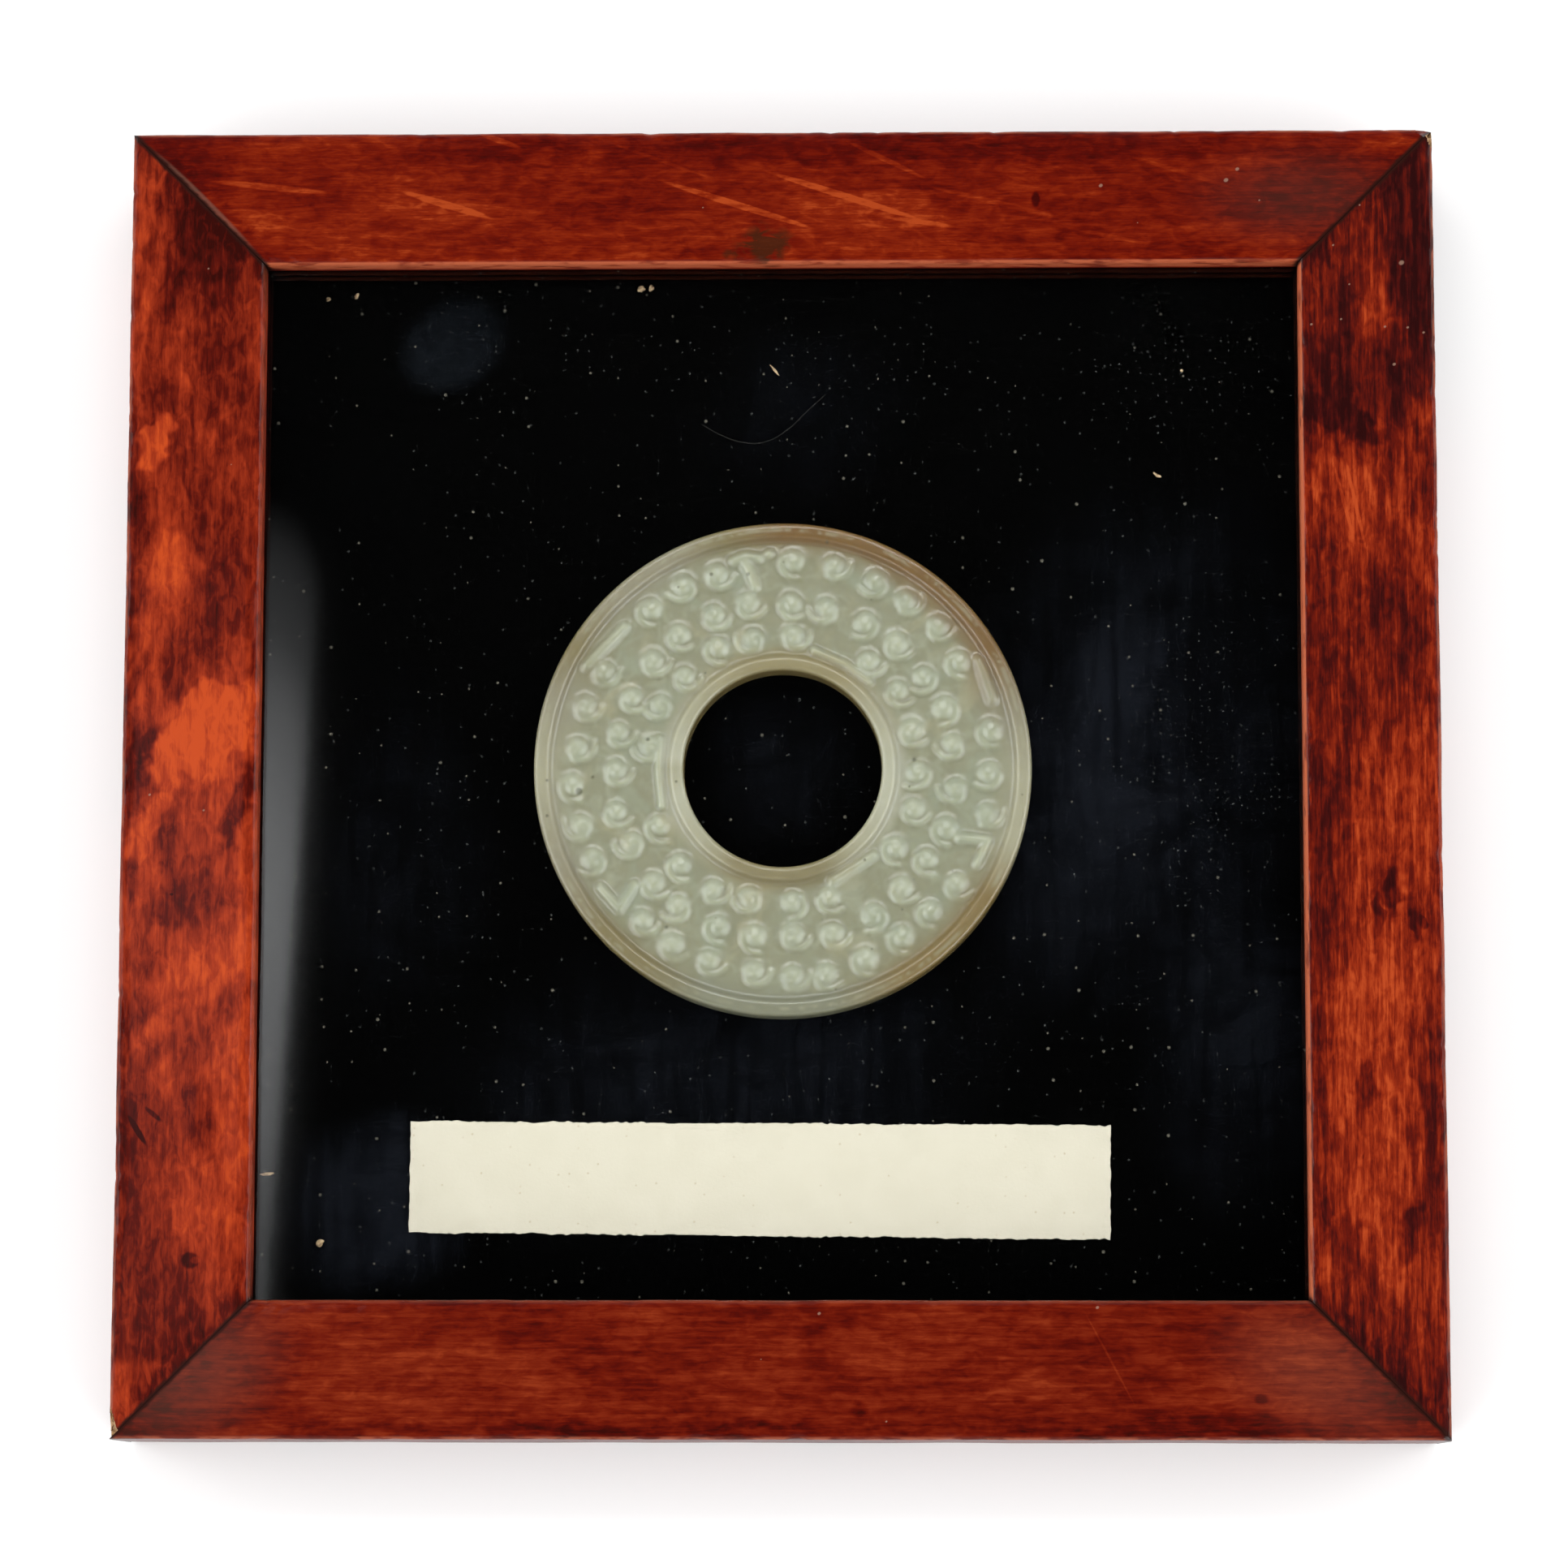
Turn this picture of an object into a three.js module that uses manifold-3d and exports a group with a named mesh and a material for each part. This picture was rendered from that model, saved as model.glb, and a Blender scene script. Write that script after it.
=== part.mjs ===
// A carved jade bi disc, mounted on a black ground behind glass in a small mitred wooden frame.
// Millimetres, +Z up. The frame lies on its back with the disc facing up. The origin is at the middle of
// the underside, and +Y points to the top of the frame as it is looked at.
import * as THREE from 'three';
import { mergeVertices } from 'three/addons/utils/BufferGeometryUtils.js';
import Module from 'manifold-3d';

const wasm = await Module();
wasm.setup();

const mergeDistance = 1e-5;

// Wooden frame
const frameSize = 150;
const frameDepth = 18;
const railWidth = 15.625;
const lipDepth = 2.75; // wood in front of the glass
const railArris = 0.625; // radius of the two front edges
const arrisSegments = 4;
const backEdgeEase = 0.5;
const glassGroove = { start: 9.5, height: 2.25 }; // start is counted from the outer face inwards
const innerWall = 12.5; // wall round the air space, counted from the outer face
const panelRebate = { start: 9, height: 6 };
const mitreGap = 0.125; // half of the glue line, along the rail

// What the frame holds
const glassThickness = 2;
const panelThickness = 3;
const slidingClearance = 0.25; // on each edge of the glass and the panel

// Jade disc
const discCentre = { x: 0.125, y: 1.75 };
const discRadius = 28.625;
const holeRadius = 11.375;
const discThickness = 4.5;
const discSegments = 72;
const backArris = 0.5;
const outerRim = { width: 1.875, bevel: 0.5 };
const innerRim = { width: 1.75, bevel: 0.5 };
const carvingDepth = 0.625; // the field lies this far under the rims
const rimStep = 0.25; // slope between a rim and the field

// Rows of raised commas on the field. A phase is the first comma's bearing, clockwise from the top.
const rows = [
  { radius: 15.8, count: 21, phase: 5, leftOut: [1, 8, 15] },
  { radius: 19.6, count: 27, phase: 2.5, leftOut: [] },
  { radius: 24, count: 33, phase: 3.5, leftOut: [6, 10, 21, 28, 32] },
];
const grain = { radius: 1.5, shoulder: 1.3, crown: 0.7, height: 0.625, sides: 7 };
const curl = { width: 0.9, height: 0.4, start: 1.6, end: 2.1, sweep: 190, steps: 4 };
const curlHeading = { from: 150, spread: 100 }; // where a curl that winds anticlockwise starts
const anticlockwiseShare = 0.7; // the other curls wind clockwise
const rootDepth = 0.25; // how far a raised form runs down into the disc
const handCarved = { bearing: 1.2, radius: 0.4 }; // how far a comma may be off its even place
const seedsPerRow = 100;

// Marks that stand in place of a comma: [radius, bearing] from point to point
const strokes = [
  { path: [[25.6, 298], [24.6, 312]], width: 1.5 },
  { path: [[25, 61], [25, 72]], width: 2 },
  { path: [[25, 236.5], [24.8, 229], [21.6, 231.5]], width: 1.1 },
  { path: [[21.9, 111.5], [25, 109.5], [24.9, 116.5]], width: 1.2 },
  { path: [[24.7, 348], [22.9, 351], [24.4, 354.5]], width: 1.2 },
  { path: [[22.9, 351], [21.2, 351]], width: 1.2 },
  { path: [[14.3, 17], [14.1, 31], [14.1, 44]], width: 1.2 },
  { path: [[14.2, 158], [14.4, 136]], width: 1.4 },
  { path: [[14.5, 258], [14.3, 270], [14.5, 282]], width: 1.4 },
];
const strokeHeight = 0.5;

// Caption strip, cut by hand and a little wider at its right end
const card = { x: -2.5, y: -45.2, length: 80.25, left: 12.75, right: 13.125, thickness: 0.25, lean: -0.45 };

// Knocked corners of the frame: lengths lost along the rail, inwards and downwards
const chips = {
  rail_left: { end: 1, along: 4.5, inwards: 1.25, down: 2.5 },
  rail_top: { end: -1, along: 3, inwards: 1.5, down: 1.75 },
  rail_right: { end: 1, along: 3, inwards: 1.25, down: 1.75 },
};
const chipReach = 1; // how far a chip's cutter starts outside the wood

// Heights, worked out from the above
const panelTop = panelRebate.height;
const discBase = panelTop;
const fieldLevel = discThickness - carvingDepth;
const grooveTop = frameDepth - lipDepth;
const grooveBottom = grooveTop - glassGroove.height;
const frameHalf = frameSize / 2;

const finishes = {
  jade: { color: 0xb0b3a0, roughness: 0.35, metalness: 0 },
  wood: { color: 0x7a2414, roughness: 0.4, metalness: 0 },
  glass: { color: 0xdfe8e6, roughness: 0.05, metalness: 0, transparent: true, opacity: 0.25 },
  ground: { color: 0x060607, roughness: 0.6, metalness: 0 },
  paper: { color: 0xe9e4d2, roughness: 0.9, metalness: 0 },
};

// Gives the same number from 0 to 1 each time for the same seed
function scatter(seed) {
  const wave = Math.sin(seed * 12.9898) * 43758.5453;
  return wave - Math.floor(wave);
}

function toManifold(geometry) {
  const bare = geometry.index ? geometry.clone() : geometry;
  bare.deleteAttribute('normal');
  bare.deleteAttribute('uv');
  const merged = mergeVertices(bare, mergeDistance);
  return new wasm.Manifold(new wasm.Mesh({
    numProp: 3,
    vertProperties: new Float32Array(merged.attributes.position.array),
    triVerts: new Uint32Array(merged.index.array),
  }));
}

function toGeometry(solid) {
  const cut = solid.getMesh();
  const geometry = new THREE.BufferGeometry();
  geometry.setAttribute('position', new THREE.BufferAttribute(cut.vertProperties, 3));
  geometry.setIndex(new THREE.BufferAttribute(cut.triVerts, 1));
  geometry.computeVertexNormals();
  return geometry;
}

// A closed solid from rings with the same number of points: each is joined to the next, and both ends
// are capped. The rings turn anticlockwise as seen from the last one.
function loft(rings) {
  const sides = rings[0].length;
  const last = (rings.length - 1) * sides;
  const faces = [];
  for (let low = 0; low < last; low += sides) {
    const high = low + sides;
    for (let i = 0; i < sides; i += 1) {
      const next = (i + 1) % sides;
      faces.push(low + i, low + next, high + next);
      faces.push(low + i, high + next, high + i);
    }
  }
  for (let i = 1; i + 1 < sides; i += 1) {
    faces.push(0, i + 1, i);
    faces.push(last, last + i, last + i + 1);
  }
  return new wasm.Manifold(new wasm.Mesh({
    numProp: 3,
    vertProperties: new Float32Array(rings.flat(2)),
    triVerts: new Uint32Array(faces),
  }));
}

// A point on the disc's plan, from a radius and a bearing clockwise from the top
function onDisc(radius, bearing) {
  const angle = THREE.MathUtils.degToRad(90 - bearing);
  return new THREE.Vector2(radius * Math.cos(angle), radius * Math.sin(angle));
}

// ---- Jade disc ----

function discBlank() {
  const rimFloor = discRadius - outerRim.width - rimStep;
  const holeFloor = holeRadius + innerRim.width + rimStep;
  const profile = [
    [holeRadius + backArris, 0],
    [discRadius - backArris, 0],
    [discRadius, backArris],
    [discRadius, discThickness - outerRim.bevel],
    [discRadius - outerRim.bevel, discThickness],
    [discRadius - outerRim.width, discThickness],
    [rimFloor, fieldLevel],
    [holeFloor, fieldLevel],
    [holeRadius + innerRim.width, discThickness],
    [holeRadius + innerRim.bevel, discThickness],
    [holeRadius, discThickness - innerRim.bevel],
    [holeRadius, backArris],
    [holeRadius + backArris, 0],
  ];
  const points = profile.map(([radius, height]) => new THREE.Vector2(radius, height));
  const blank = new THREE.LatheGeometry(points, discSegments);
  blank.rotateX(Math.PI / 2);
  return toManifold(blank);
}

// The rounded grain of a comma
function grainDome(centre) {
  const levels = [
    [grain.radius, -rootDepth],
    [grain.shoulder, grain.height * 0.5],
    [grain.crown, grain.height],
  ];
  const rings = levels.map(([radius, height]) => {
    const ring = [];
    for (let i = 0; i < grain.sides; i += 1) {
      const angle = (i / grain.sides) * 2 * Math.PI;
      const x = centre.x + radius * Math.cos(angle);
      const y = centre.y + radius * Math.sin(angle);
      ring.push([x, y, fieldLevel + height]);
    }
    return ring;
  });
  return loft(rings);
}

// A raised line with a sharp crest, along points on the plan
function ridge(points, width, height) {
  const rings = points.map((point, i) => {
    const before = points[Math.max(i - 1, 0)];
    const after = points[Math.min(i + 1, points.length - 1)];
    const along = after.clone().sub(before).normalize();
    const side = new THREE.Vector2(-along.y, along.x);
    const place = (offset, level) => {
      const spot = point.clone().addScaledVector(side, offset * width);
      return [spot.x, spot.y, fieldLevel + level];
    };
    return [place(-0.5, -rootDepth), place(0.5, -rootDepth), place(0, height)];
  });
  return loft(rings);
}

// The curl that leaves the grain at one side and winds half round it
function commaCurl(centre, heading, hand) {
  const points = [];
  for (let i = 0; i <= curl.steps; i += 1) {
    const part = i / curl.steps;
    const angle = THREE.MathUtils.degToRad(heading + hand * curl.sweep * part);
    const reach = THREE.MathUtils.lerp(curl.start, curl.end, part);
    const step = new THREE.Vector2(Math.cos(angle), Math.sin(angle));
    points.push(centre.clone().addScaledVector(step, reach));
  }
  return ridge(points, curl.width, curl.height);
}

function commas() {
  const solids = [];
  rows.forEach((row, rowIndex) => {
    for (let i = 0; i < row.count; i += 1) {
      if (row.leftOut.includes(i)) continue;
      const seed = seedsPerRow * (rowIndex + 1) + i;
      const bearingSlip = handCarved.bearing * (2 * scatter(seed) - 1);
      const radiusSlip = handCarved.radius * (2 * scatter(seed + 0.5) - 1);
      const bearing = row.phase + (360 * i) / row.count + bearingSlip;
      const centre = onDisc(row.radius + radiusSlip, bearing);
      const hand = scatter(seed + 0.25) < anticlockwiseShare ? 1 : -1;
      const turned = curlHeading.from + curlHeading.spread * scatter(seed + 0.75);
      const heading = hand > 0 ? turned : 180 - turned;
      solids.push(grainDome(centre));
      solids.push(commaCurl(centre, heading, hand));
    }
  });
  return solids;
}

function jadeDisc() {
  const marks = strokes.map(({ path, width }) => {
    const points = path.map(([radius, bearing]) => onDisc(radius, bearing));
    return ridge(points, width, strokeHeight);
  });
  const carved = wasm.Manifold.union([discBlank(), ...commas(), ...marks]);
  return toGeometry(carved);
}

// ---- Frame, glass, ground and caption ----

// The rail's section: x is counted from the outer face inwards, y is the height
function railSection() {
  const inner = railWidth - railArris;
  const front = frameDepth - railArris;
  const section = new THREE.Shape();
  section.moveTo(backEdgeEase, 0);
  section.lineTo(panelRebate.start, 0);
  section.lineTo(panelRebate.start, panelRebate.height);
  section.lineTo(innerWall, panelRebate.height);
  section.lineTo(innerWall, grooveBottom);
  section.lineTo(glassGroove.start, grooveBottom);
  section.lineTo(glassGroove.start, grooveTop);
  section.lineTo(railWidth, grooveTop);
  section.absarc(inner, front, railArris, 0, Math.PI / 2, false);
  section.absarc(railArris, front, railArris, Math.PI / 2, Math.PI, false);
  section.lineTo(0, backEdgeEase);
  section.closePath();
  return section;
}

// A rail along X at the bottom of the frame, with its ends mitred: each end point moves in as far as it
// lies from the outer face.
function railBlank() {
  const geometry = new THREE.ExtrudeGeometry(railSection(), {
    depth: 1,
    bevelEnabled: false,
    curveSegments: arrisSegments,
  });
  const position = geometry.attributes.position;
  for (let i = 0; i < position.count; i += 1) {
    const inwards = position.getX(i);
    const reach = frameHalf - mitreGap - inwards;
    const along = position.getZ(i) > 0.5 ? reach : -reach;
    position.setXYZ(i, along, inwards - frameHalf, position.getY(i));
  }
  return geometry;
}

// A break across the corner at one end of a rail, through three points on its edges. The cutter is the
// corner of a box, started a little outside the wood and cut off by the plane of the break.
function chipCutter({ end, along, inwards, down }) {
  const reach = (own, other, third) => own * (1 + chipReach / other + chipReach / third);
  const apex = [-chipReach, -chipReach, -chipReach];
  const tips = [
    [reach(along, inwards, down), -chipReach, -chipReach],
    [-chipReach, reach(inwards, along, down), -chipReach],
  ];
  const lowest = [-chipReach, -chipReach, reach(down, along, inwards)];
  const points = [apex, ...(end > 0 ? tips : tips.reverse()), lowest];
  const placed = points.map(([x, y, z]) => [end * (frameHalf - x), y - frameHalf, frameDepth - z]);
  return new wasm.Manifold(new wasm.Mesh({
    numProp: 3,
    vertProperties: new Float32Array(placed.flat()),
    triVerts: new Uint32Array([0, 2, 1, 0, 3, 2, 0, 1, 3, 1, 2, 3]),
  }));
}

function rail(name) {
  const blank = toManifold(railBlank());
  const chip = chips[name];
  return toGeometry(chip ? blank.subtract(chipCutter(chip)) : blank);
}

function sheet(start, thickness) {
  const size = frameSize - 2 * (start + slidingClearance);
  return new THREE.BoxGeometry(size, size, thickness);
}

function captionCard() {
  const half = card.length / 2;
  const outline = new THREE.Shape();
  outline.moveTo(-half, -card.left / 2);
  outline.lineTo(half, -card.right / 2);
  outline.lineTo(half, card.right / 2);
  outline.lineTo(-half, card.left / 2);
  outline.closePath();
  return new THREE.ExtrudeGeometry(outline, { depth: card.thickness, bevelEnabled: false });
}

// ---- Assembly ----

const group = new THREE.Group();

function place(name, geometry, finish, x, y, z) {
  const mesh = new THREE.Mesh(geometry, new THREE.MeshStandardMaterial(finish));
  mesh.name = name;
  mesh.position.set(x, y, z);
  group.add(mesh);
  return mesh;
}

['rail_bottom', 'rail_right', 'rail_top', 'rail_left'].forEach((name, quarter) => {
  const mesh = place(name, rail(name), finishes.wood, 0, 0, 0);
  mesh.rotation.z = (quarter * Math.PI) / 2;
});
const panel = sheet(panelRebate.start, panelThickness);
place('ground_panel', panel, finishes.ground, 0, 0, panelTop - panelThickness / 2);
const glass = sheet(glassGroove.start, glassThickness);
place('glass_pane', glass, finishes.glass, 0, 0, grooveBottom + glassThickness / 2);
place('jade_disc', jadeDisc(), finishes.jade, discCentre.x, discCentre.y, discBase);
const strip = place('caption_card', captionCard(), finishes.paper, card.x, card.y, panelTop);
strip.rotation.z = THREE.MathUtils.degToRad(card.lean);

export default group;
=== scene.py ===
import math

import bpy
import numpy as np
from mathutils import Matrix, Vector


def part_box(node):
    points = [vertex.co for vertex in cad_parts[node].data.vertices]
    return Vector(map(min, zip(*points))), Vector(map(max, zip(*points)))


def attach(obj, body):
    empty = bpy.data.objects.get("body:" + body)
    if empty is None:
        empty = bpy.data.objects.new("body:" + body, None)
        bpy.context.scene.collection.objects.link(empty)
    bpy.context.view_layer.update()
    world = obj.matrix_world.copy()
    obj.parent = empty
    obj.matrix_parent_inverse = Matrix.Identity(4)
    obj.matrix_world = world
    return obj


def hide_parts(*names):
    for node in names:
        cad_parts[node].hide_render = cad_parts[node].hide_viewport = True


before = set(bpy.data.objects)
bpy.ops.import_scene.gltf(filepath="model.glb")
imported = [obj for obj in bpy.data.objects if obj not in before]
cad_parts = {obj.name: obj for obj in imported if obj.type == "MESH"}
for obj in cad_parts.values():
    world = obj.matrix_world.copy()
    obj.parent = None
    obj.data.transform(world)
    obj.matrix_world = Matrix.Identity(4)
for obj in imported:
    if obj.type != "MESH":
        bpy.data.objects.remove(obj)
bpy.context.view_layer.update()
print("frame loaded:", len(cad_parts), "nodes")

mm = 0.001


# Modelling helpers. Lengths are in millimetres, and meshes are in metres.

def selectOnly(piece):
    if bpy.context.object and bpy.context.object.mode != "OBJECT":
        bpy.ops.object.mode_set(mode="OBJECT")
    bpy.ops.object.select_all(action="DESELECT")
    piece.select_set(True)
    bpy.context.view_layer.objects.active = piece


def arc(centreX, centreY, radius, start, end, steps=4):
    # points on an arc, between two angles in degrees
    angles = [math.radians(start + (end - start) * i / steps) for i in range(steps + 1)]
    return [(centreX + radius * math.cos(a), centreY + radius * math.sin(a)) for a in angles]


def fillStretches(line, gapAt):
    # points along each straight stretch of a closed line, no further apart than its gap
    filled = []
    for start, end in zip(line, line[1:] + line[:1]):
        steps = max(1, math.ceil(math.dist(start, end) / gapAt(start, end)))
        for i in range(steps):
            share = i / steps
            filled.append(tuple(a + (b - a) * share for a, b in zip(start, end)))
    return filled


def addPlane(name, size):
    bpy.ops.object.select_all(action="DESELECT")
    bpy.ops.mesh.primitive_plane_add(size=size * mm)
    piece = bpy.context.object
    piece.name = name
    return piece


def startEditing():
    bpy.ops.object.mode_set(mode="EDIT")
    bpy.ops.mesh.select_all(action="SELECT")


def stopEditing():
    bpy.ops.object.mode_set(mode="OBJECT")


def dress(piece, *finishes):
    piece.data.materials.clear()
    for finish in finishes:
        piece.data.materials.append(finish)


def drawOutline(name, points):
    # one vertex is extruded from point to point and back to the first
    piece = addPlane(name, 1)
    points = [Vector(point) * mm for point in points]
    startEditing()
    bpy.ops.mesh.merge(type="CENTER")
    bpy.ops.transform.translate(value=points[0])
    for before, after in zip(points, points[1:] + points[:1]):
        bpy.ops.mesh.extrude_vertices_move(TRANSFORM_OT_translate={"value": after - before})
    bpy.ops.mesh.select_all(action="SELECT")
    bpy.ops.mesh.remove_doubles(threshold=0.01 * mm)
    bpy.ops.mesh.select_all(action="SELECT")
    return piece


def readPoints(piece):
    flat = np.empty(len(piece.data.vertices) * 3)
    piece.data.vertices.foreach_get("co", flat)
    return flat.reshape(-1, 3) / mm


def writePoints(piece, points):
    piece.data.vertices.foreach_set("co", (points * mm).astype(np.float32).ravel())
    piece.data.update()


def turnedOnPlan(points, degrees, place):
    # the same points turned about the origin, seen from above, then moved to a place
    angle = math.radians(degrees)
    spin = np.array([[math.cos(angle), -math.sin(angle)], [math.sin(angle), math.cos(angle)]])
    return points @ spin.T + place


def slowWaves(plan, length, seed, count=8):
    # an uneven surface of crossing waves, mostly between -1 and 1
    rng = np.random.default_rng(seed)
    total = np.zeros(len(plan))
    for turn, phase, stretch in rng.uniform((0, 0, 0.6), (2 * math.pi, 2 * math.pi, 1.7), (count, 3)):
        along = plan[:, 0] * math.cos(turn) + plan[:, 1] * math.sin(turn)
        total += np.sin(along * 2 * math.pi / (length * stretch) + phase)
    return total / math.sqrt(count)


def closeUp(piece, angle=None):
    # doubles merged, faces turned outwards, then shaded smooth, or smooth up to an angle
    selectOnly(piece)
    startEditing()
    bpy.ops.mesh.remove_doubles(threshold=0.005 * mm)
    bpy.ops.mesh.normals_make_consistent(inside=False)
    stopEditing()
    if angle is None:
        bpy.ops.object.shade_smooth()
    else:
        bpy.ops.object.shade_smooth_by_angle(angle=math.radians(angle))


# Node helpers

def paint(red, green, blue, light=1.0):
    # a colour from 0 to 255, as it is seen under so much light
    linear = []
    for value in (red, green, blue):
        share = value / 255
        linear.append(share / 12.92 if share <= 0.04045 else ((share + 0.055) / 1.055) ** 2.4)
    return (*[value / light for value in linear], 1.0)


def addNode(tree, kind, inputs=None, **settings):
    node = tree.nodes.new("ShaderNode" + kind)
    for name, value in settings.items():
        setattr(node, name, value)
    for name, value in (inputs or {}).items():
        if isinstance(value, bpy.types.NodeSocket):
            tree.links.new(value, node.inputs[name])
        else:
            node.inputs[name].default_value = value
    return node


def calc(tree, operation, first, second=0.0, third=0.0, clamp=False):
    inputs = {0: first, 1: second, 2: third}
    return addNode(tree, "Math", inputs, operation=operation, use_clamp=clamp).outputs[0]


def times(tree, first, second, clamp=False):
    return calc(tree, "MULTIPLY", first, second, 0.0, clamp)


def nudged(tree, value, layer, amount):
    # a value pushed up and down by a layer that varies about 0.5
    return calc(tree, "MULTIPLY_ADD", calc(tree, "SUBTRACT", layer, 0.5), amount, value)


def vectorCalc(tree, operation, first, second=(0, 0, 0)):
    return addNode(tree, "VectorMath", {0: first, 1: second}, operation=operation).outputs


def axesOf(tree, vector):
    return addNode(tree, "SeparateXYZ", {"Vector": vector}).outputs


def fade(tree, value, start, end, low=0.0, high=1.0):
    inputs = {"Value": value, "From Min": start, "From Max": end, "To Min": low, "To Max": high}
    return addNode(tree, "MapRange", inputs, interpolation_type="SMOOTHSTEP").outputs[0]


def mixColour(tree, factor, first, second, blend="MIX"):
    inputs = {0: factor, 6: first, 7: second}
    return addNode(tree, "Mix", inputs, data_type="RGBA", blend_type=blend).outputs[2]


def toned(paints, name):
    # one of a piece's own colours, under that piece's light
    return paint(*paints[name], paints["light"])


def glaze(tree, mask, under, paints, name):
    return mixColour(tree, mask, under, toned(paints, name))


def colourRamp(tree, factor, stops, smooth=False):
    node = addNode(tree, "ValToRGB", {"Fac": factor})
    node.color_ramp.interpolation = "EASE" if smooth else "LINEAR"
    elements = node.color_ramp.elements
    while len(elements) < len(stops):
        elements.new(0.5)
    for element, (position, colour) in zip(elements, sorted(stops)):
        element.position = position
        element.color = colour
    return node.outputs["Color"]


def stretched(tree, vector, scale, location=(0, 0, 0), turn=0.0):
    return addNode(tree, "Mapping", {
        "Vector": vector, "Scale": scale, "Location": location, "Rotation": (0, 0, math.radians(turn)),
    }).outputs[0]


def noise(tree, vector, scale, detail=3.0, distortion=0.0, roughness=0.5):
    return addNode(tree, "TexNoise", {
        "Vector": vector, "Scale": scale, "Detail": detail, "Distortion": distortion, "Roughness": roughness,
    }).outputs["Fac"]


def adrift(tree, vector, scale, detail, reach):
    # the same coordinates pushed to and fro on the plan, so that what is placed by them has a loose edge
    inputs = {"Vector": vector, "Scale": scale, "Detail": detail}
    drift = addNode(tree, "TexNoise", inputs).outputs["Color"]
    drift = vectorCalc(tree, "SUBTRACT", drift, (0.5, 0.5, 0.5))[0]
    drift = vectorCalc(tree, "MULTIPLY", drift, (reach, reach, 0))[0]
    return vectorCalc(tree, "ADD", vector, drift)[0]


def newGroup(name, inputs, outputs):
    # a node group with named sockets; gives the group, what comes in and what goes out
    group = bpy.data.node_groups.new(name, "ShaderNodeTree")
    for socket, (kind, value) in inputs.items():
        made = group.interface.new_socket(name=socket, in_out="INPUT", socket_type=kind)
        if value is not None:
            made.default_value = value
    for socket, kind in outputs.items():
        group.interface.new_socket(name=socket, in_out="OUTPUT", socket_type=kind)
    given, out = (group.nodes.new(kind) for kind in ("NodeGroupInput", "NodeGroupOutput"))
    return group, given.outputs, out.inputs


def useGroup(tree, group, inputs):
    return addNode(tree, "Group", inputs, node_tree=group).outputs


def newFinish(name, **constants):
    # a material with its one Principled shader, and the piece's own coordinates in millimetres
    material = bpy.data.materials.new(name)
    material.use_nodes = True
    tree = material.node_tree
    shader = tree.nodes["Principled BSDF"]
    for socket, value in constants.items():
        shader.inputs[socket].default_value = value
    coordinates = addNode(tree, "TexCoord").outputs["Object"]
    return material, tree, shader, stretched(tree, coordinates, (1 / mm, 1 / mm, 1 / mm))


def feedBump(tree, shader, height, strength, distance):
    inputs = {"Height": height, "Strength": strength, "Distance": distance * mm}
    bump = addNode(tree, "Bump", inputs)
    tree.links.new(bump.outputs["Normal"], shader.inputs["Normal"])


# Effects that several finishes share

vectorKind, numberKind = "NodeSocketVector", "NodeSocketFloat"


def makeSpotGroup():
    # a soft oval, 1 in its middle and 0 outside, turned and placed on the plan
    group, given, out = newGroup("ovalPatch", {
        "Vector": (vectorKind, None),
        "Centre": (vectorKind, (0, 0, 0)),
        "Turn": (vectorKind, (0, 0, 0)),
        "Size": (vectorKind, (1, 1, 1000)),
        "Softness": (numberKind, 0.6),
    }, {"Mask": numberKind})
    placed = addNode(group, "Mapping", {
        "Vector": given["Vector"], "Location": given["Centre"],
        "Rotation": given["Turn"], "Scale": given["Size"],
    }, vector_type="TEXTURE").outputs[0]
    inside = addNode(group, "TexGradient", {"Vector": placed}, gradient_type="SPHERICAL")
    group.links.new(fade(group, inside.outputs["Fac"], 0.0, given["Softness"]), out["Mask"])
    return group


def makeSpeckGroup():
    # small specks, one at most in each cell of a net, and only in a share of the cells
    group, given, out = newGroup("specks", {
        "Vector": (vectorKind, None),
        "Cells": (numberKind, 1.0),
        "Size": (numberKind, 0.1),
        "Share": (numberKind, 0.2),
    }, {"Mask": numberKind})
    net = addNode(group, "TexVoronoi", {
        "Vector": given["Vector"], "Scale": given["Cells"],
    }, voronoi_dimensions="2D")
    chance = addNode(group, "SeparateColor", {"Color": net.outputs["Color"]}).outputs
    kept = calc(group, "LESS_THAN", chance[0], given["Share"])
    size = times(group, given["Size"], calc(group, "ADD", chance[1], 0.35))
    away = calc(group, "DIVIDE", net.outputs["Distance"], size)
    group.links.new(times(group, kept, fade(group, away, 1.0, 0.45)), out["Mask"])
    return group


def makeGrainGroup():
    # varnished fruitwood whose grain runs along X: broad figure, lumpy mottle, long streaks, short fibres
    group, given, out = newGroup("woodGrain", {
        "Vector": (vectorKind, None),
        "Seed": (numberKind, 0.0),
    }, {"Figure": numberKind, "Mottle": numberKind, "Streaks": numberKind, "Fibres": numberKind})
    shift = addNode(group, "CombineXYZ", {
        "X": times(group, given["Seed"], 211.0),
        "Y": times(group, given["Seed"], 57.0),
    }).outputs[0]
    place = vectorCalc(group, "ADD", given["Vector"], shift)[0]
    layers = {
        "Figure": ((0.05, 0.12, 0.12), 2.0, 1.2),
        "Mottle": ((0.45, 0.95, 0.95), 4.0, 0.7),
        "Streaks": ((0.13, 1.7, 1.7), 4.0, 0.35),
        "Fibres": ((0.7, 6.0, 6.0), 3.0, 0.2),
    }
    for name, (scale, detail, distortion) in layers.items():
        layer = noise(group, stretched(group, place, scale), 1.0, detail, distortion, 0.55)
        group.links.new(fade(group, layer, 0.3, 0.7), out[name])
    return group


ovalPatch = makeSpotGroup()
specks = makeSpeckGroup()
woodGrain = makeGrainGroup()


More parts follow.
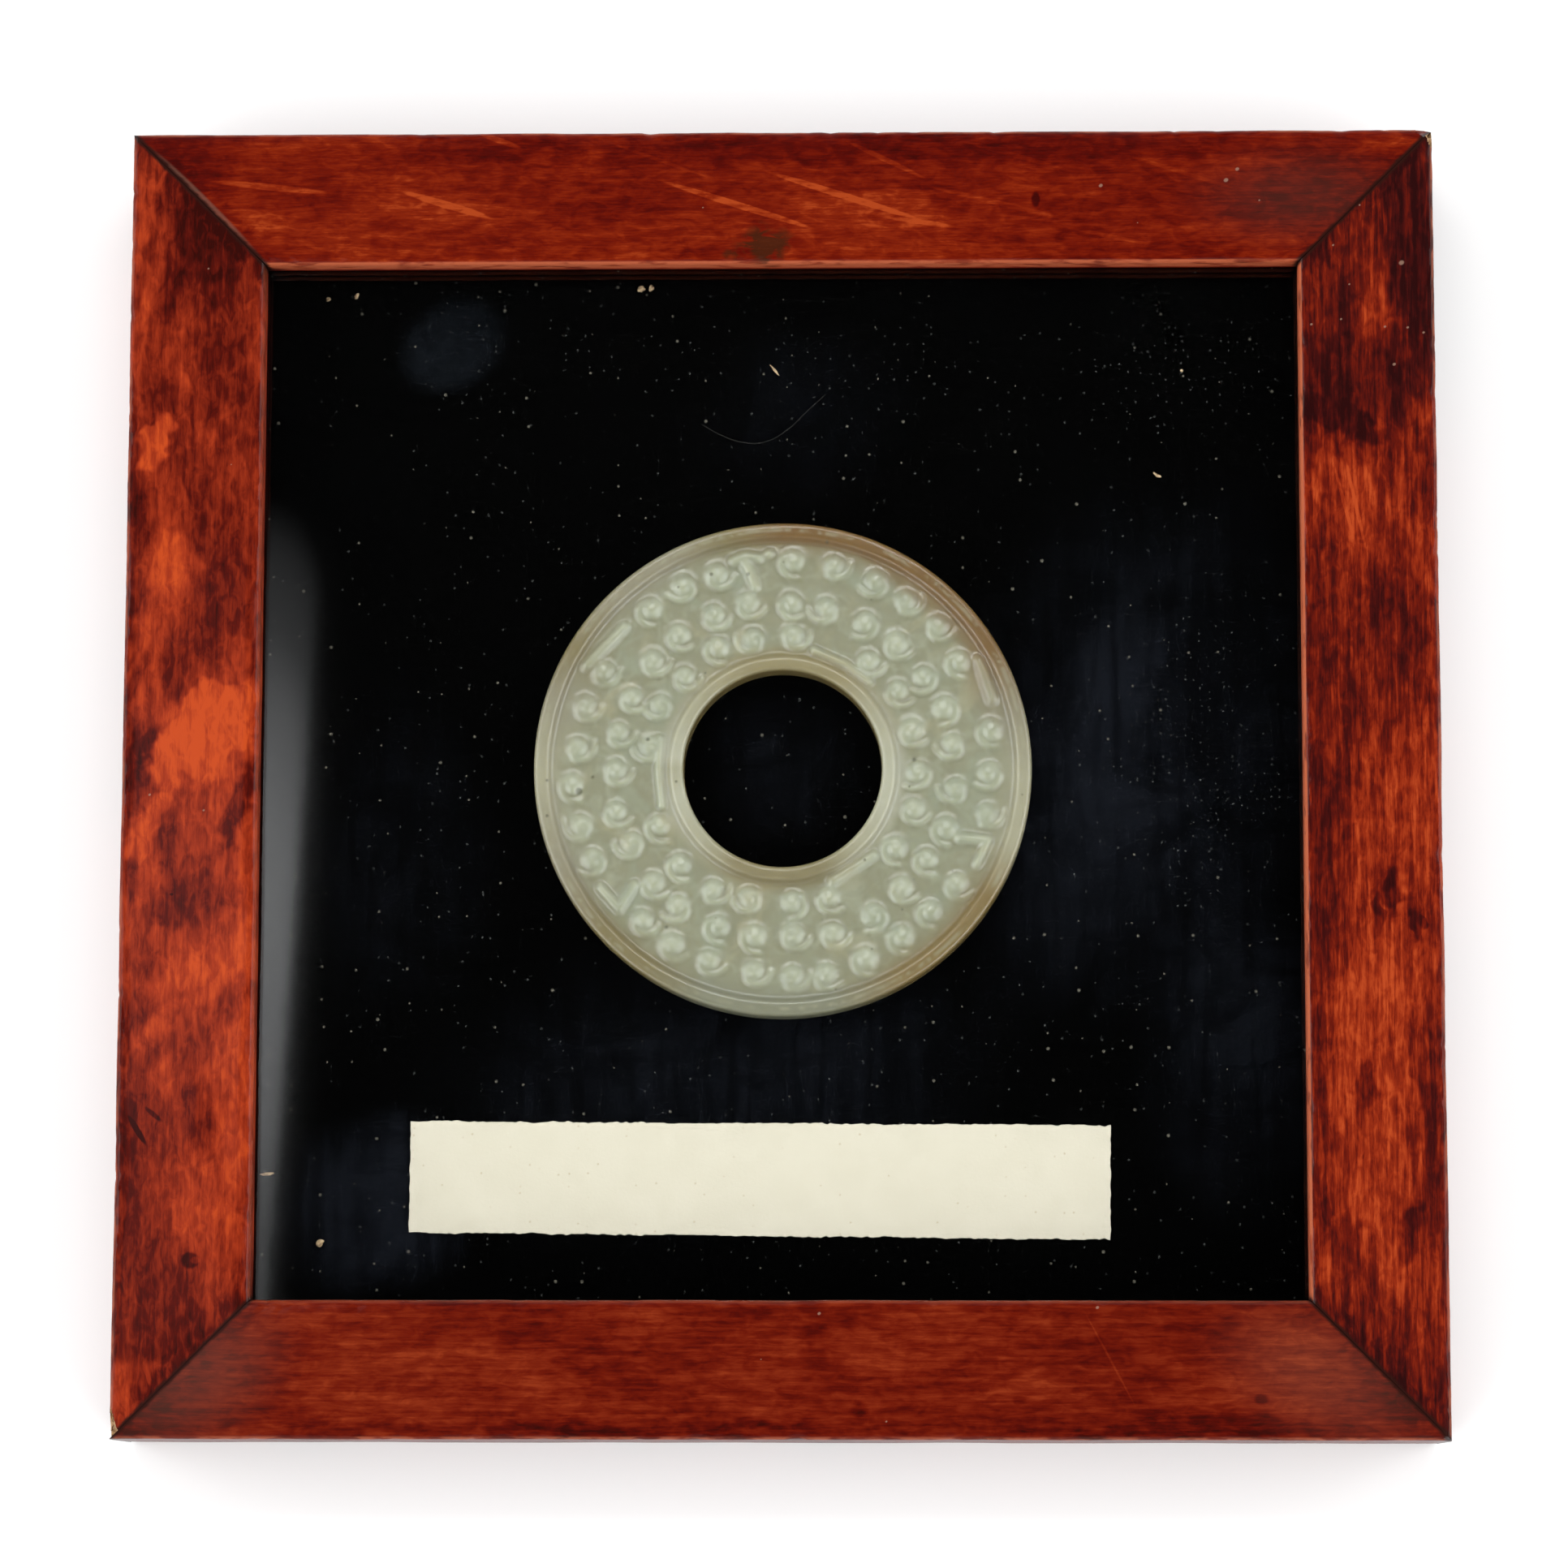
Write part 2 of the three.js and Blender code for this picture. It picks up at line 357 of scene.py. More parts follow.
def addPatches(tree, vector, value, patches):
    # each patch is x, y, length, width, turn and amount, then its softness where it isn't the usual one
    for x, y, length, width, turn, amount, *softness in patches:
        mask = useGroup(tree, ovalPatch, {
            "Vector": vector, "Centre": (x, y, 0), "Turn": (0, 0, math.radians(turn)),
            "Size": (length / 2, width / 2, 1000), "Softness": softness[0] if softness else 0.9,
        })["Mask"]
        value = calc(tree, "MULTIPLY_ADD", mask, amount, value)
    return value


# The jade disc

jade = {
    "holeRadius": 11.375,
    "backArris": 0.5,
    "outerRim": {"width": 1.875, "bevel": 0.5},
    "innerRim": {"width": 1.75, "bevel": 0.5},
    "carvingDepth": 0.625,
    "fineGap": 0.17,  # between the rings of the carved side
    "plainGap": 2.5,
    "spinSteps": 720,
    "wedges": 12,
    "rows": [
        {"radius": 15.8, "count": 21, "phase": 5, "leftOut": [1, 8, 15]},
        {"radius": 19.6, "count": 27, "phase": 2.5, "leftOut": []},
        {"radius": 24, "count": 33, "phase": 3.5, "leftOut": [6, 10, 21, 28, 32]},
    ],
    "rimSlope": 0.6,
    "grain": {"radius": 1.35, "height": 0.42, "skirt": 1.9, "skirtHeight": 0.2, "reach": 3.5},
    "grainSize": {"least": 0.92, "spread": 0.16},
    "grainFullness": {"least": 0.88, "spread": 0.17},
    "groove": {"width": 0.45, "depth": 0.12, "start": 0.2, "end": 1.3, "turnBack": 120, "sweep": 250},
    "curl": {"width": 1.2, "height": 0.34, "start": 1.1, "end": 2.1, "turnBack": 0, "sweep": 130},
    "curlTaper": 0.5,
    "curlSteps": 14,
    "curlHeading": {"from": 150, "spread": 100},
    "anticlockwiseShare": 0.7,
    "handCarved": {"bearing": 1.2, "radius": 0.4},
    "seedsPerRow": 100,
    "strokes": [
        {"path": [[25.6, 298], [24.6, 312]], "width": 1.8},
        {"path": [[25.4, 71.5], [25.5, 66], [25.8, 61]], "width": 1.9},
        {"path": [[25, 236.5], [24.8, 229], [21.6, 231.5]], "width": 1.5},
        {"path": [[21.9, 111.5], [25, 109.5], [24.9, 116.5]], "width": 1.5},
        {"path": [[24.9, 346.8], [25.2, 350.2], [24.7, 353.6]], "width": 1.5},
        {"path": [[25.1, 356.2], [25.2, 356.8]], "width": 1.3},
        {"path": [[24.6, 349.6], [23, 350.6], [21.4, 351.3]], "width": 1.6},
        {"path": [[14.15, 14.5], [14.05, 30], [14.15, 45]], "width": 1.3},
        {"path": [[14.2, 156], [14.5, 134]], "width": 1.7},
        {"path": [[14.5, 253], [14.3, 269], [14.5, 284]], "width": 1.3},
    ],
    "strokeHeight": 0.56,
    "strokeTaper": 0.15,
    "carvingStops": 1.2,  # how far from the outer rim the carving starts to sink
    "plainEdge": 0.6,  # left as it is along the hole and the outer edge
    "rimShift": 0.3,
    "ripple": {"height": 0.03, "length": 5, "seed": 4, "settle": 0.02},  # of the field between the rims
    "wear": {"height": 0.015, "length": 11, "seed": 6},
    "smoothing": 4,
    "pits": [[-23.4, -2.6, 0.35], [-15.5, 3.4, 0.2], [15.1, 1.0, 0.2]],  # x, y and radius
    "pitDepth": 0.3,
}


def scatter(seed):
    # the same number from 0 to 1 each time for the same seed
    wave = math.sin(seed * 12.9898) * 43758.5453
    return wave - math.floor(wave)


def onDisc(radius, bearing):
    # bearings run clockwise from the top
    angle = math.radians(90 - bearing)
    return np.array([radius * math.cos(angle), radius * math.sin(angle)])


def discProfile(discRadius, thickness):
    hole, back = jade["holeRadius"], jade["backArris"]
    outer, inner = jade["outerRim"], jade["innerRim"]
    line = arc(discRadius - back, back, back, -90, 0)
    line += arc(discRadius - outer["bevel"], thickness - outer["bevel"], outer["bevel"], 0, 90)
    line += arc(hole + inner["bevel"], thickness - inner["bevel"], inner["bevel"], 90, 180)
    line += arc(hole + back, back, back, 180, 270)

    def gapAt(start, end):
        return jade["fineGap"] if min(start[1], end[1]) > thickness - mm else jade["plainGap"]
    return fillStretches(line, gapAt)


def ridgeHeight(plan, path, width, height, taper=0.0):
    # a rounded raised line along the points of a path, lower and thinner towards its end
    best = np.zeros(len(plan))
    for i, (start, end) in enumerate(zip(path, path[1:])):
        stretch = end - start
        share = np.clip((plan - start) @ stretch / (stretch @ stretch), 0, 1)
        away = np.linalg.norm(plan - start - share[:, None] * stretch, axis=1)
        left = 1 - taper * (i + share) / (len(path) - 1)
        bulge = np.clip(1 - (away / (width / 2 * left)) ** 2, 0, 1)
        best = np.maximum(best, height * np.sqrt(left) * bulge)
    return best


def commaPlaces():
    places = []
    slip = jade["handCarved"]
    for rowIndex, row in enumerate(jade["rows"]):
        for i in range(row["count"]):
            if i in row["leftOut"]:
                continue
            seed = jade["seedsPerRow"] * (rowIndex + 1) + i
            bearing = row["phase"] + 360 * i / row["count"] + slip["bearing"] * (2 * scatter(seed) - 1)
            centre = onDisc(row["radius"] + slip["radius"] * (2 * scatter(seed + 0.5) - 1), bearing)
            hand = 1 if scatter(seed + 0.25) < jade["anticlockwiseShare"] else -1
            turned = jade["curlHeading"]["from"] + jade["curlHeading"]["spread"] * scatter(seed + 0.75)
            places.append((centre, turned if hand > 0 else 180 - turned, hand, seed))
    return places


def spiral(centre, heading, hand, shape):
    # points of a curl round a grain, from the way it heads less turnBack degrees
    path = []
    for step in range(jade["curlSteps"] + 1):
        part = step / jade["curlSteps"]
        angle = math.radians(heading + hand * (shape["sweep"] * part - shape["turnBack"]))
        reach = shape["start"] + (shape["end"] - shape["start"]) * part
        path.append(centre + reach * np.array([math.cos(angle), math.sin(angle)]))
    return path


def carvedHeight(plan):
    # what stands above the field, over each point of the plan
    grain, groove, curl = jade["grain"], jade["groove"], jade["curl"]
    sizes, fullness = jade["grainSize"], jade["grainFullness"]
    raised = np.zeros(len(plan))
    for centre, heading, hand, seed in commaPlaces():
        near = np.nonzero(np.abs(plan - centre).max(axis=1) < grain["reach"])[0]
        spot = plan[near]
        size = sizes["least"] + sizes["spread"] * scatter(seed + 0.1)
        away = np.linalg.norm(spot - centre, axis=1) / size
        dome = grain["height"] * np.clip(1 - (away / grain["radius"]) ** 2, 0, 1)
        dome += grain["skirtHeight"] * np.clip(1 - (away / grain["skirt"]) ** 2, 0, 1)
        dome *= fullness["least"] + fullness["spread"] * scatter(seed + 0.2)
        cut = spiral(centre, heading, hand, groove)
        dome = np.maximum(dome - ridgeHeight(spot, cut, groove["width"], groove["depth"]), 0)
        tail = spiral(centre, heading, hand, curl)
        line = ridgeHeight(spot, tail, curl["width"], curl["height"], jade["curlTaper"])
        raised[near] = np.maximum(raised[near], np.maximum(dome, line))
    for stroke in jade["strokes"]:
        path = [onDisc(radius, bearing) for radius, bearing in stroke["path"]]
        line = ridgeHeight(plan, path, stroke["width"], jade["strokeHeight"], jade["strokeTaper"])
        raised = np.maximum(raised, line)
    return raised


def smoothStep(value, start, end):
    share = np.clip((value - start) / (end - start), 0, 1)
    return share * share * (3 - 2 * share)


def spinDisc(centre, floor, discRadius, thickness):
    profile = discProfile(discRadius, thickness)
    piece = drawOutline("jadeRing", [(centre[0] + r, centre[1], floor + z) for r, z in profile])
    pivot = (centre[0] * mm, centre[1] * mm, 0)
    wedge = 2 * math.pi / jade["wedges"]  # one wedge is spun, then copied round
    bpy.ops.mesh.spin(steps=jade["spinSteps"] // jade["wedges"], angle=wedge, center=pivot, axis=(0, 0, 1))
    bpy.ops.mesh.select_all(action="SELECT")
    copies = jade["wedges"] - 1
    bpy.ops.mesh.spin(steps=copies, angle=wedge * copies, center=pivot, axis=(0, 0, 1), dupli=True)
    closeUp(piece)
    return piece


def carveDisc(piece, centre, crest, discRadius):
    # the flat top is lowered to the field between the rims, and the carving is left standing
    points = readPoints(piece)
    plan = points[:, :2] - centre[:2]
    radius = np.linalg.norm(plan, axis=1)
    field = crest - jade["carvingDepth"]
    inside = radius < discRadius - jade["plainEdge"]
    top = (points[:, 2] > field - 0.01) & (radius > jade["holeRadius"] + jade["plainEdge"]) & inside
    plan, radius = plan[top], radius[top]
    rimEdge = discRadius - jade["outerRim"]["width"] + jade["rimShift"]
    collarEdge = jade["holeRadius"] + jade["innerRim"]["width"] - jade["rimShift"]
    rims = smoothStep(radius, rimEdge - jade["rimSlope"], rimEdge)
    rims = np.maximum(rims, smoothStep(radius, collarEdge + jade["rimSlope"], collarEdge))
    carved = carvedHeight(plan) * smoothStep(radius, rimEdge, rimEdge - jade["carvingStops"])
    worked = np.maximum(carved, jade["carvingDepth"] * rims)
    ripple, wear = jade["ripple"], jade["wear"]
    rippled = ripple["height"] * slowWaves(plan, ripple["length"], ripple["seed"]) - ripple["settle"]
    worn = wear["height"] * (1 + slowWaves(plan, wear["length"], wear["seed"]))
    worked += (1 - rims) * rippled - worn
    for x, y, size in jade["pits"]:
        worked -= jade["pitDepth"] * np.exp(-(np.linalg.norm(plan - (x, y), axis=1) / size) ** 2)
    points[top, 2] = np.minimum(field + worked, crest)
    writePoints(piece, points)

    selectOnly(piece)
    piece.data.vertices.foreach_set("select", top)
    bpy.ops.object.mode_set(mode="EDIT")
    bpy.ops.mesh.vertices_smooth(factor=0.5, repeat=jade["smoothing"], xaxis=False, yaxis=False)
    stopEditing()


def makeJadeRing():
    low, high = (np.array(corner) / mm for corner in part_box("jade_disc"))
    centre, thickness = (low + high) / 2, high[2] - low[2]
    discRadius = (high[0] - low[0]) / 2
    piece = spinDisc(centre, low[2], discRadius, thickness)
    carveDisc(piece, centre, high[2], discRadius)
    field = high[2] - jade["carvingDepth"]
    relief = (readPoints(piece)[:, 2] - field) / jade["carvingDepth"]
    stored = piece.data.attributes.new("relief", "FLOAT", "POINT")
    stored.data.foreach_set("value", np.clip(relief, 0, 1).astype(np.float32))
    dress(piece, jadeFinish(centre, field, discRadius))
    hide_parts("jade_disc")
    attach(piece, "root")
    print("jade ring:", len(piece.data.polygons), "faces")


jadePaint = {
    "light": 1.35,
    # darker in the recesses: partly the stone's own colour, partly painted shade
    "shadedRecess": (140, 138, 113),
    "field": (160, 162, 139),
    # paler on the crests, partly a painted highlight
    "crest": (167, 169, 147),
    "cloud": (147, 152, 130),
    "warm": (166, 158, 126),
    "honey": (117, 88, 46),
    "tan": (127, 107, 66),
    "olive": (125, 113, 78),
    "sage": (129, 128, 108),
    "straw": (141, 134, 112),
    "pale": (161, 156, 131),
    "brown": (132, 119, 84),
    "amber": (140, 127, 90),
    "bright": (177, 174, 154),
    "wall": (122, 106, 68),
    "pit": (84, 82, 62),
    # bearings clockwise from the top, with the rim's colour there
    "outerRim": [
        (0, "honey"), (12, "honey"), (60, "honey"), (78, "straw"), (92, "pale"), (108, "pale"), (122, "tan"),
        (150, "tan"), (168, "sage"), (198, "sage"), (214, "olive"), (228, "olive"), (246, "straw"),
        (270, "pale"), (288, "straw"), (300, "olive"), (316, "straw"), (332, "straw"), (346, "olive"),
    ],
    "innerRim": [
        (0, "amber"), (30, "amber"), (60, "pale"), (88, "bright"), (110, "bright"), (135, "pale"),
        (160, "olive"), (182, "brown"), (205, "brown"), (228, "pale"), (255, "bright"), (276, "bright"),
        (300, "pale"), (345, "amber"),
    ],
    "stainReach": 3.2,  # how far the outer rim's colour runs into the field
    # where it runs further in: x, y, length, width, turn, amount
    "stains": [
        (23.5, 9, 15, 6, -68, 0.6), (-22.5, 9, 20, 6, 66, 0.45), (17, 19, 34, 4, -42, 0.3),
    ],
    # fades over the radius: a pale line round the rim, partly wear and partly a painted highlight, the
    # collar's colour, and the wall of the hole
    "wornAndLitRimLine": {"starts": (27.4, 27.7), "ends": (28.15, 27.8)},
    "collar": {"starts": 1.8, "full": -0.1},  # from the collar's edge
    "wallFade": (12.6, 11.6),
}


def rimColour(tree, bearing, stops):
    # the radial gradient starts at the left, goes through the bottom and turns anticlockwise
    placed = [((0.75 - degrees / 360) % 1, toned(jadePaint, name)) for degrees, name in stops]
    seam = toned(jadePaint, "pale")
    placed = [stop for stop in placed if 0.005 < stop[0] < 0.995] + [(0.0, seam), (1.0, seam)]
    return colourRamp(tree, bearing, placed)


def jadeFinish(centre, field, discRadius):
    material, tree, shader, place = newFinish("carvedJade", **{
        "Subsurface Weight": 0.65, "Subsurface Radius": (1.5, 1.4, 1.0), "Subsurface Scale": mm,
        "IOR": 1.63, "Roughness": 0.27, "Specular IOR Level": 0.6,
    })
    own = stretched(tree, place, (1, 1, 1), (-centre[0], -centre[1], -field))
    axes = axesOf(tree, own)
    flat = addNode(tree, "CombineXYZ", {"X": axes["X"], "Y": axes["Y"]}).outputs[0]
    radius = vectorCalc(tree, "LENGTH", flat)["Value"]
    bearing = addNode(tree, "TexGradient", {"Vector": own}, gradient_type="RADIAL").outputs["Fac"]
    relief = addNode(tree, "Attribute", attribute_name="relief").outputs["Fac"]
    cloud = noise(tree, own, 0.14, 4.0, 0.8)
    veins = noise(tree, own, 0.45, 3.0, 1.0)

    # the stone itself, paler where it stands higher: partly its own colour, partly painted shade in the
    # recesses and a faint painted highlight on the crests
    heights = ((0.0, "shadedRecess"), (0.35, "field"), (0.95, "crest"))
    stops = [(height, toned(jadePaint, name)) for height, name in heights]
    body = colourRamp(tree, nudged(tree, relief, veins, 0.8), stops)
    body = glaze(tree, fade(tree, cloud, 0.5, 0.72, 0.0, 0.6), body, jadePaint, "cloud")
    body = glaze(tree, fade(tree, cloud, 0.46, 0.3, 0.0, 0.5), body, jadePaint, "warm")

    # the outer rim's colour, and where it runs into the field
    rim = rimColour(tree, bearing, jadePaint["outerRim"])
    rimEdge = discRadius - jade["outerRim"]["width"]
    uneven = nudged(tree, radius, cloud, 2.0)
    stain = fade(tree, uneven, rimEdge - jadePaint["stainReach"], rimEdge + 0.2, 0.0, 0.55)
    stain = addPatches(tree, own, stain, jadePaint["stains"])
    stain = times(tree, stain, fade(tree, relief, 0.4, 0.9, 1.0, 0.45))
    body = mixColour(tree, calc(tree, "MINIMUM", stain, 0.7), body, rim)
    body = mixColour(tree, fade(tree, radius, rimEdge - 0.9, rimEdge), body, rim)
    # the pale line round the rim: partly wear, partly a painted highlight along the rim
    wornAndLitRimLine = jadePaint["wornAndLitRimLine"]
    line = times(tree, fade(tree, radius, *wornAndLitRimLine["starts"]), fade(tree, radius, *wornAndLitRimLine["ends"]))
    line = times(tree, line, fade(tree, veins, 0.42, 0.62, 0.0, 0.45))
    body = glaze(tree, line, body, jadePaint, "pale")

    # the collar and the wall of the hole, then dark dots and pits
    colour = rimColour(tree, bearing, jadePaint["innerRim"])
    collarEdge, collar = jade["holeRadius"] + jade["innerRim"]["width"], jadePaint["collar"]
    ring = fade(tree, radius, collarEdge + collar["starts"], collarEdge + collar["full"], 0.0, 0.9)
    body = mixColour(tree, ring, body, colour)
    wall = times(tree, fade(tree, axes["Z"], 0.5, -0.2), fade(tree, radius, *jadePaint["wallFade"]))
    body = glaze(tree, wall, body, jadePaint, "wall")
    dots = useGroup(tree, specks, {"Vector": own, "Cells": 0.22, "Size": 0.05, "Share": 0.35})["Mask"]
    pits = [(x, y, size * 3, size * 3, 0, 1.0, 0.5) for x, y, size in jade["pits"]]
    dots = addPatches(tree, own, dots, pits)
    body = glaze(tree, times(tree, dots, 0.6, clamp=True), body, jadePaint, "pit")

    tree.links.new(body, shader.inputs["Base Color"])
    return material


# The four rails

rails = {
    "size": 150,
    "width": 15.625,
    "depth": 18,
    "arris": 0.625,
    "backEdgeEase": 0.5,
    "innerWall": 12.5,
    "panelRebate": {"start": 9, "height": 6},
    "glassGroove": {"start": 9.5, "bottom": 13, "top": 15.25},
    "mitreGap": 0.03,
    "acrossGap": 1.2,  # between the lines of vertices across a rail
    "cuts": (100, 2),  # along it, one after the other
    # how deeply the arrises are rubbed: at least, and in long and short waves of (height, length)
    "rub": {"least": 0.04, "most": 0.35, "reach": 1.5, "long": (0.03, 14), "short": (0.012, 2.4)},
    "knocks": {"count": 14, "least": (-72, 0.25, 0.03), "most": (72, 0.8, 0.14)},  # place, size and depth
    "planing": 0.03,
    "chipRoughness": 0.16,
}
railHalf = rails["size"] / 2

# Patches, marks, veils and stains are placed on the plan of the frame, as it is looked at: x, y, length,
# width, turn, amount, and softness if it isn't 0.9. A speck is x, y and size. A chip is the end it is at,
# and what it takes along, inwards and down.
# On each rail, how strongly the inner arris is painted paler stands partly for wear, partly for a painted
# highlight.
railLooks = {
    "rail_bottom": {
        "piece": "bottomRail", "turn": 0, "seed": 2,
        "tones": [(58, 5, 1), (89, 9, 1), (113, 22, 3), (132, 38, 12), (156, 57, 24)],
        "figure": 0.3, "mottle": 0.26, "streaks": 0.3, "fibres": 0.1, "innerWearAndHighlight": 0.22,
        "patches": [
            (-40, -68, 40, 9, 4, 0.12), (14, -65, 46, 7, 0, 0.08), (4, -61, 30, 5, 0, -0.2),
            (-20, -73.8, 130, 3, 0, -0.28), (45, -73.6, 60, 3, 0, -0.25), (30, -69, 24, 6, 4, 0.1),
            (-69, -71, 12, 9, 40, -0.2), (69, -71, 14, 8, -40, -0.2),
        ],
        "marks": [
            (9, -71.6, 2.8, 2.2, 0, -0.3, 0.6), (53.8, -70.4, 2, 1.6, 0, -0.35, 0.5),
            (37, -66, 14, 0.3, -62, 0.2, 0.4),
        ],
        "veils": [(-66, -68, 30, 20, 30, 0.19), (62, -68, 36, 20, -20, 0.15)],
        "stains": [],
        "specks": [(4.5, -60.9, 0.5), (35.6, -60.2, 0.5), (12, -72.9, 0.3), (-2, -66, 0.2)],
        "chips": [{"end": 1, "along": 2.2, "inwards": 0.9, "down": 1.6}],
    },
    "rail_right": {
        "piece": "rightRail", "turn": 90, "seed": 5,
        "tones": [(44, 6, 6), (71, 12, 9), (111, 23, 8), (156, 46, 16), (196, 76, 33)],
        "figure": 0.3, "mottle": 0.24, "streaks": 0.38, "fibres": 0.12, "innerWearAndHighlight": 1.4,
        "patches": [
            (73, 60, 46, 9, 90, -0.55, 0.7), (62, 53, 36, 10, 88, -0.23, 0.5),
            (67, 46, 16, 15, -28, -0.3, 0.7), (66.5, 52, 16, 5, 92, 0.1), (68.5, 66, 13, 9, 70, -0.16),
            (64, 41, 11, 4.5, -35, -0.5, 0.3), (71, 41, 18, 7, 90, -0.14),
            (64.5, 31, 15, 9, -75, 0.22, 0.4), (66, 19, 17, 16, 0, -0.13), (72, 8, 20, 6, 90, -0.1),
            (67, -33, 70, 16, 90, 0.34), (68, -6, 26, 12, 88, 0.22), (69.5, -13, 8, 2.6, 84, -0.36, 0.5),
            (67.4, -14.6, 5, 1.6, 90, -0.3, 0.5), (71.8, -17, 5, 1.4, 92, -0.3, 0.5),
            (66, -26, 22, 12, 90, 0.16), (66, -35, 6, 3.5, 80, -0.3, 0.7),
            (71, -51.5, 9, 3, 78, -0.36, 0.6), (64, -55, 12, 4, 80, -0.2, 0.8),
            (68, -70, 14, 10, 60, -0.2), (63, -44, 16, 5, 88, 0.16),
        ],
        "marks": [(64.2, 31.5, 11, 0.5, -76, 0.2, 0.4), (65.6, 31, 13, 0.5, -78, 0.22, 0.4)],
        "veils": [],
        "stains": [],
        "specks": [
            (71.2, 59.2, 0.8), (63.4, 61.3, 0.35), (65.2, 56.7, 0.3), (60.8, 52, 0.4), (64.2, 52.6, 0.35),
            (69.2, 51.7, 0.4), (71.8, 51.6, 0.4), (73.6, 51, 0.4), (70.2, 47.3, 0.5), (66.5, 66, 0.3),
        ],
        "chips": [{"end": 1, "along": 3, "inwards": 1.25, "down": 1.75}],
    },
    "rail_top": {
        "piece": "topRail", "turn": 180, "seed": 8,
        "tones": [(66, 3, 0), (92, 7, 0), (117, 20, 1), (141, 37, 6), (182, 70, 26)],
        "figure": 0.24, "mottle": 0.26, "streaks": 0.2, "fibres": 0.14, "innerWearAndHighlight": 0.85,
        "patches": [
            (16, 73, 120, 5, 0, -0.3, 0.7), (-36, 73, 40, 4, 0, -0.2, 0.8), (-68, 71, 18, 9, -35, -0.28),
            (-56, 63, 20, 8, 0, 0.16), (-36, 65, 44, 7, -4, 0.14), (6, 66, 44, 8, -8, 0.14),
            (60, 68, 28, 14, 10, -0.42), (-8, 60.5, 18, 3, 0, -0.2, 0.8), (46, 62, 30, 4, 0, -0.06),
            (34, 71, 26, 6, -10, -0.08),
        ],
        "marks": [
            (-59, 68.6, 16, 0.9, -6, 0.3, 0.3), (-38.5, 66.4, 12, 1.0, -17, 0.26, 0.3),
            (-5, 66.3, 20, 0.9, -18, 0.34, 0.25), (7, 67.4, 20, 0.9, -18, 0.3, 0.25),
            (12, 71.6, 11, 0.7, -26, 0.24, 0.3), (25, 66.4, 20, 0.8, -14, 0.14, 0.4),
            (27, 72, 15, 0.7, -16, 0.16, 0.4), (-32.5, 74, 6, 0.8, -20, 0.3, 0.3),
            (46, 70, 16, 0.6, -18, 0.12, 0.4), (38, 62.4, 12, 0.6, -12, 0.14, 0.4),
            (29.3, 66.8, 1.2, 2.2, 0, -0.5, 0.5), (-14, 71.6, 14, 0.5, -20, 0.14, 0.4),
            (16, 64.2, 10, 0.7, -8, 0.2, 0.4),
        ],
        "veils": [(-66.6, 66.9, 20, 1.3, -45, 0.45, 0.5), (60, 67, 34, 16, 0, 0.1)],
        "stains": [(-1.8, 62, 7.5, 5.4, 20, 0.9, 0.6), (-5.4, 59.9, 4, 1.8, 0, 0.7, 0.7)],
        "specks": [
            (51.2, 69, 0.7), (52.5, 70.3, 0.6), (36.8, 68.4, 0.6), (55, 66.6, 0.3), (41, 64, 0.2),
            (-9, 66, 0.25),
        ],
        "chips": [{"end": -1, "along": 3, "inwards": 1.5, "down": 1.75}],
    },
    "rail_left": {
        "piece": "leftRail", "turn": 270, "seed": 11,
        "tones": [(54, 5, 1), (92, 15, 5), (136, 37, 14), (172, 56, 24), (208, 79, 31)],
        "figure": 0.42, "mottle": 0.28, "streaks": 0.18, "fibres": 0.1, "innerWearAndHighlight": 0.2,
        "patches": [
            (-67, 62, 28, 16, 80, -0.5), (-64, 46, 18, 9, 88, -0.26), (-72, 30, 11, 4, 88, -0.16),
            (-72, 39, 9, 4.4, 66, 0.5, 0.35), (-73.4, 32, 6, 4, 70, -0.2, 0.8),
            (-70, 25, 11, 9, 85, 0.3, 0.7), (-66, 15, 9, 14, 0, -0.1), (-64, 22, 12, 5, 90, -0.1),
            (-65, 5, 13.5, 9, 84, 0.5, 0.2), (-68.6, 3.4, 10, 5.5, 60, 0.4, 0.3),
            (-60.6, 9, 9, 4, 70, 0.2, 0.5), (-73, 2, 12, 3.4, 62, -0.34, 0.5),
            (-61, -3, 15, 3.2, 68, -0.4, 0.5), (-71.6, -5, 13, 3.6, 60, 0.32, 0.4),
            (-67, -14.5, 16, 6, 4, -0.2, 0.8), (-66.5, -12, 13, 6, 68, -0.14),
            (-61, -21, 24, 5, 90, 0.24, 0.8), (-67, -25, 34, 15, 90, 0.22), (-70, -42, 12, 8, 85, -0.06),
            (-66, -47, 14, 8, 88, 0.24, 0.8), (-62, -44, 26, 5, 90, 0.1), (-68, -67, 18, 13, 60, -0.24),
            (-74, 0, 140, 2.6, 90, -0.16), (-71, -18, 30, 5, 90, -0.1),
        ],
        "marks": [
            (-72.4, -40.4, 4.4, 0.8, -58, -0.5, 0.4), (-70.6, -38.6, 3, 0.7, -40, -0.3, 0.5),
            (-66.2, -55, 2.4, 2.2, 0, -0.45, 0.4), (-65.6, -55, 1.4, 1.1, 0, 0.25, 0.5),
            (-69, -13.6, 0.5, 0.4, 0, -0.3, 0.5),
        ],
        "veils": [],
        "stains": [],
        "specks": [(-71.7, -2.2, 0.4), (-65.5, -4, 0.35), (-66, 59, 0.3), (-63, 36, 0.2)],
        "chips": [{"end": 1, "along": 4.5, "inwards": 1.25, "down": 2.5}],
    },
}


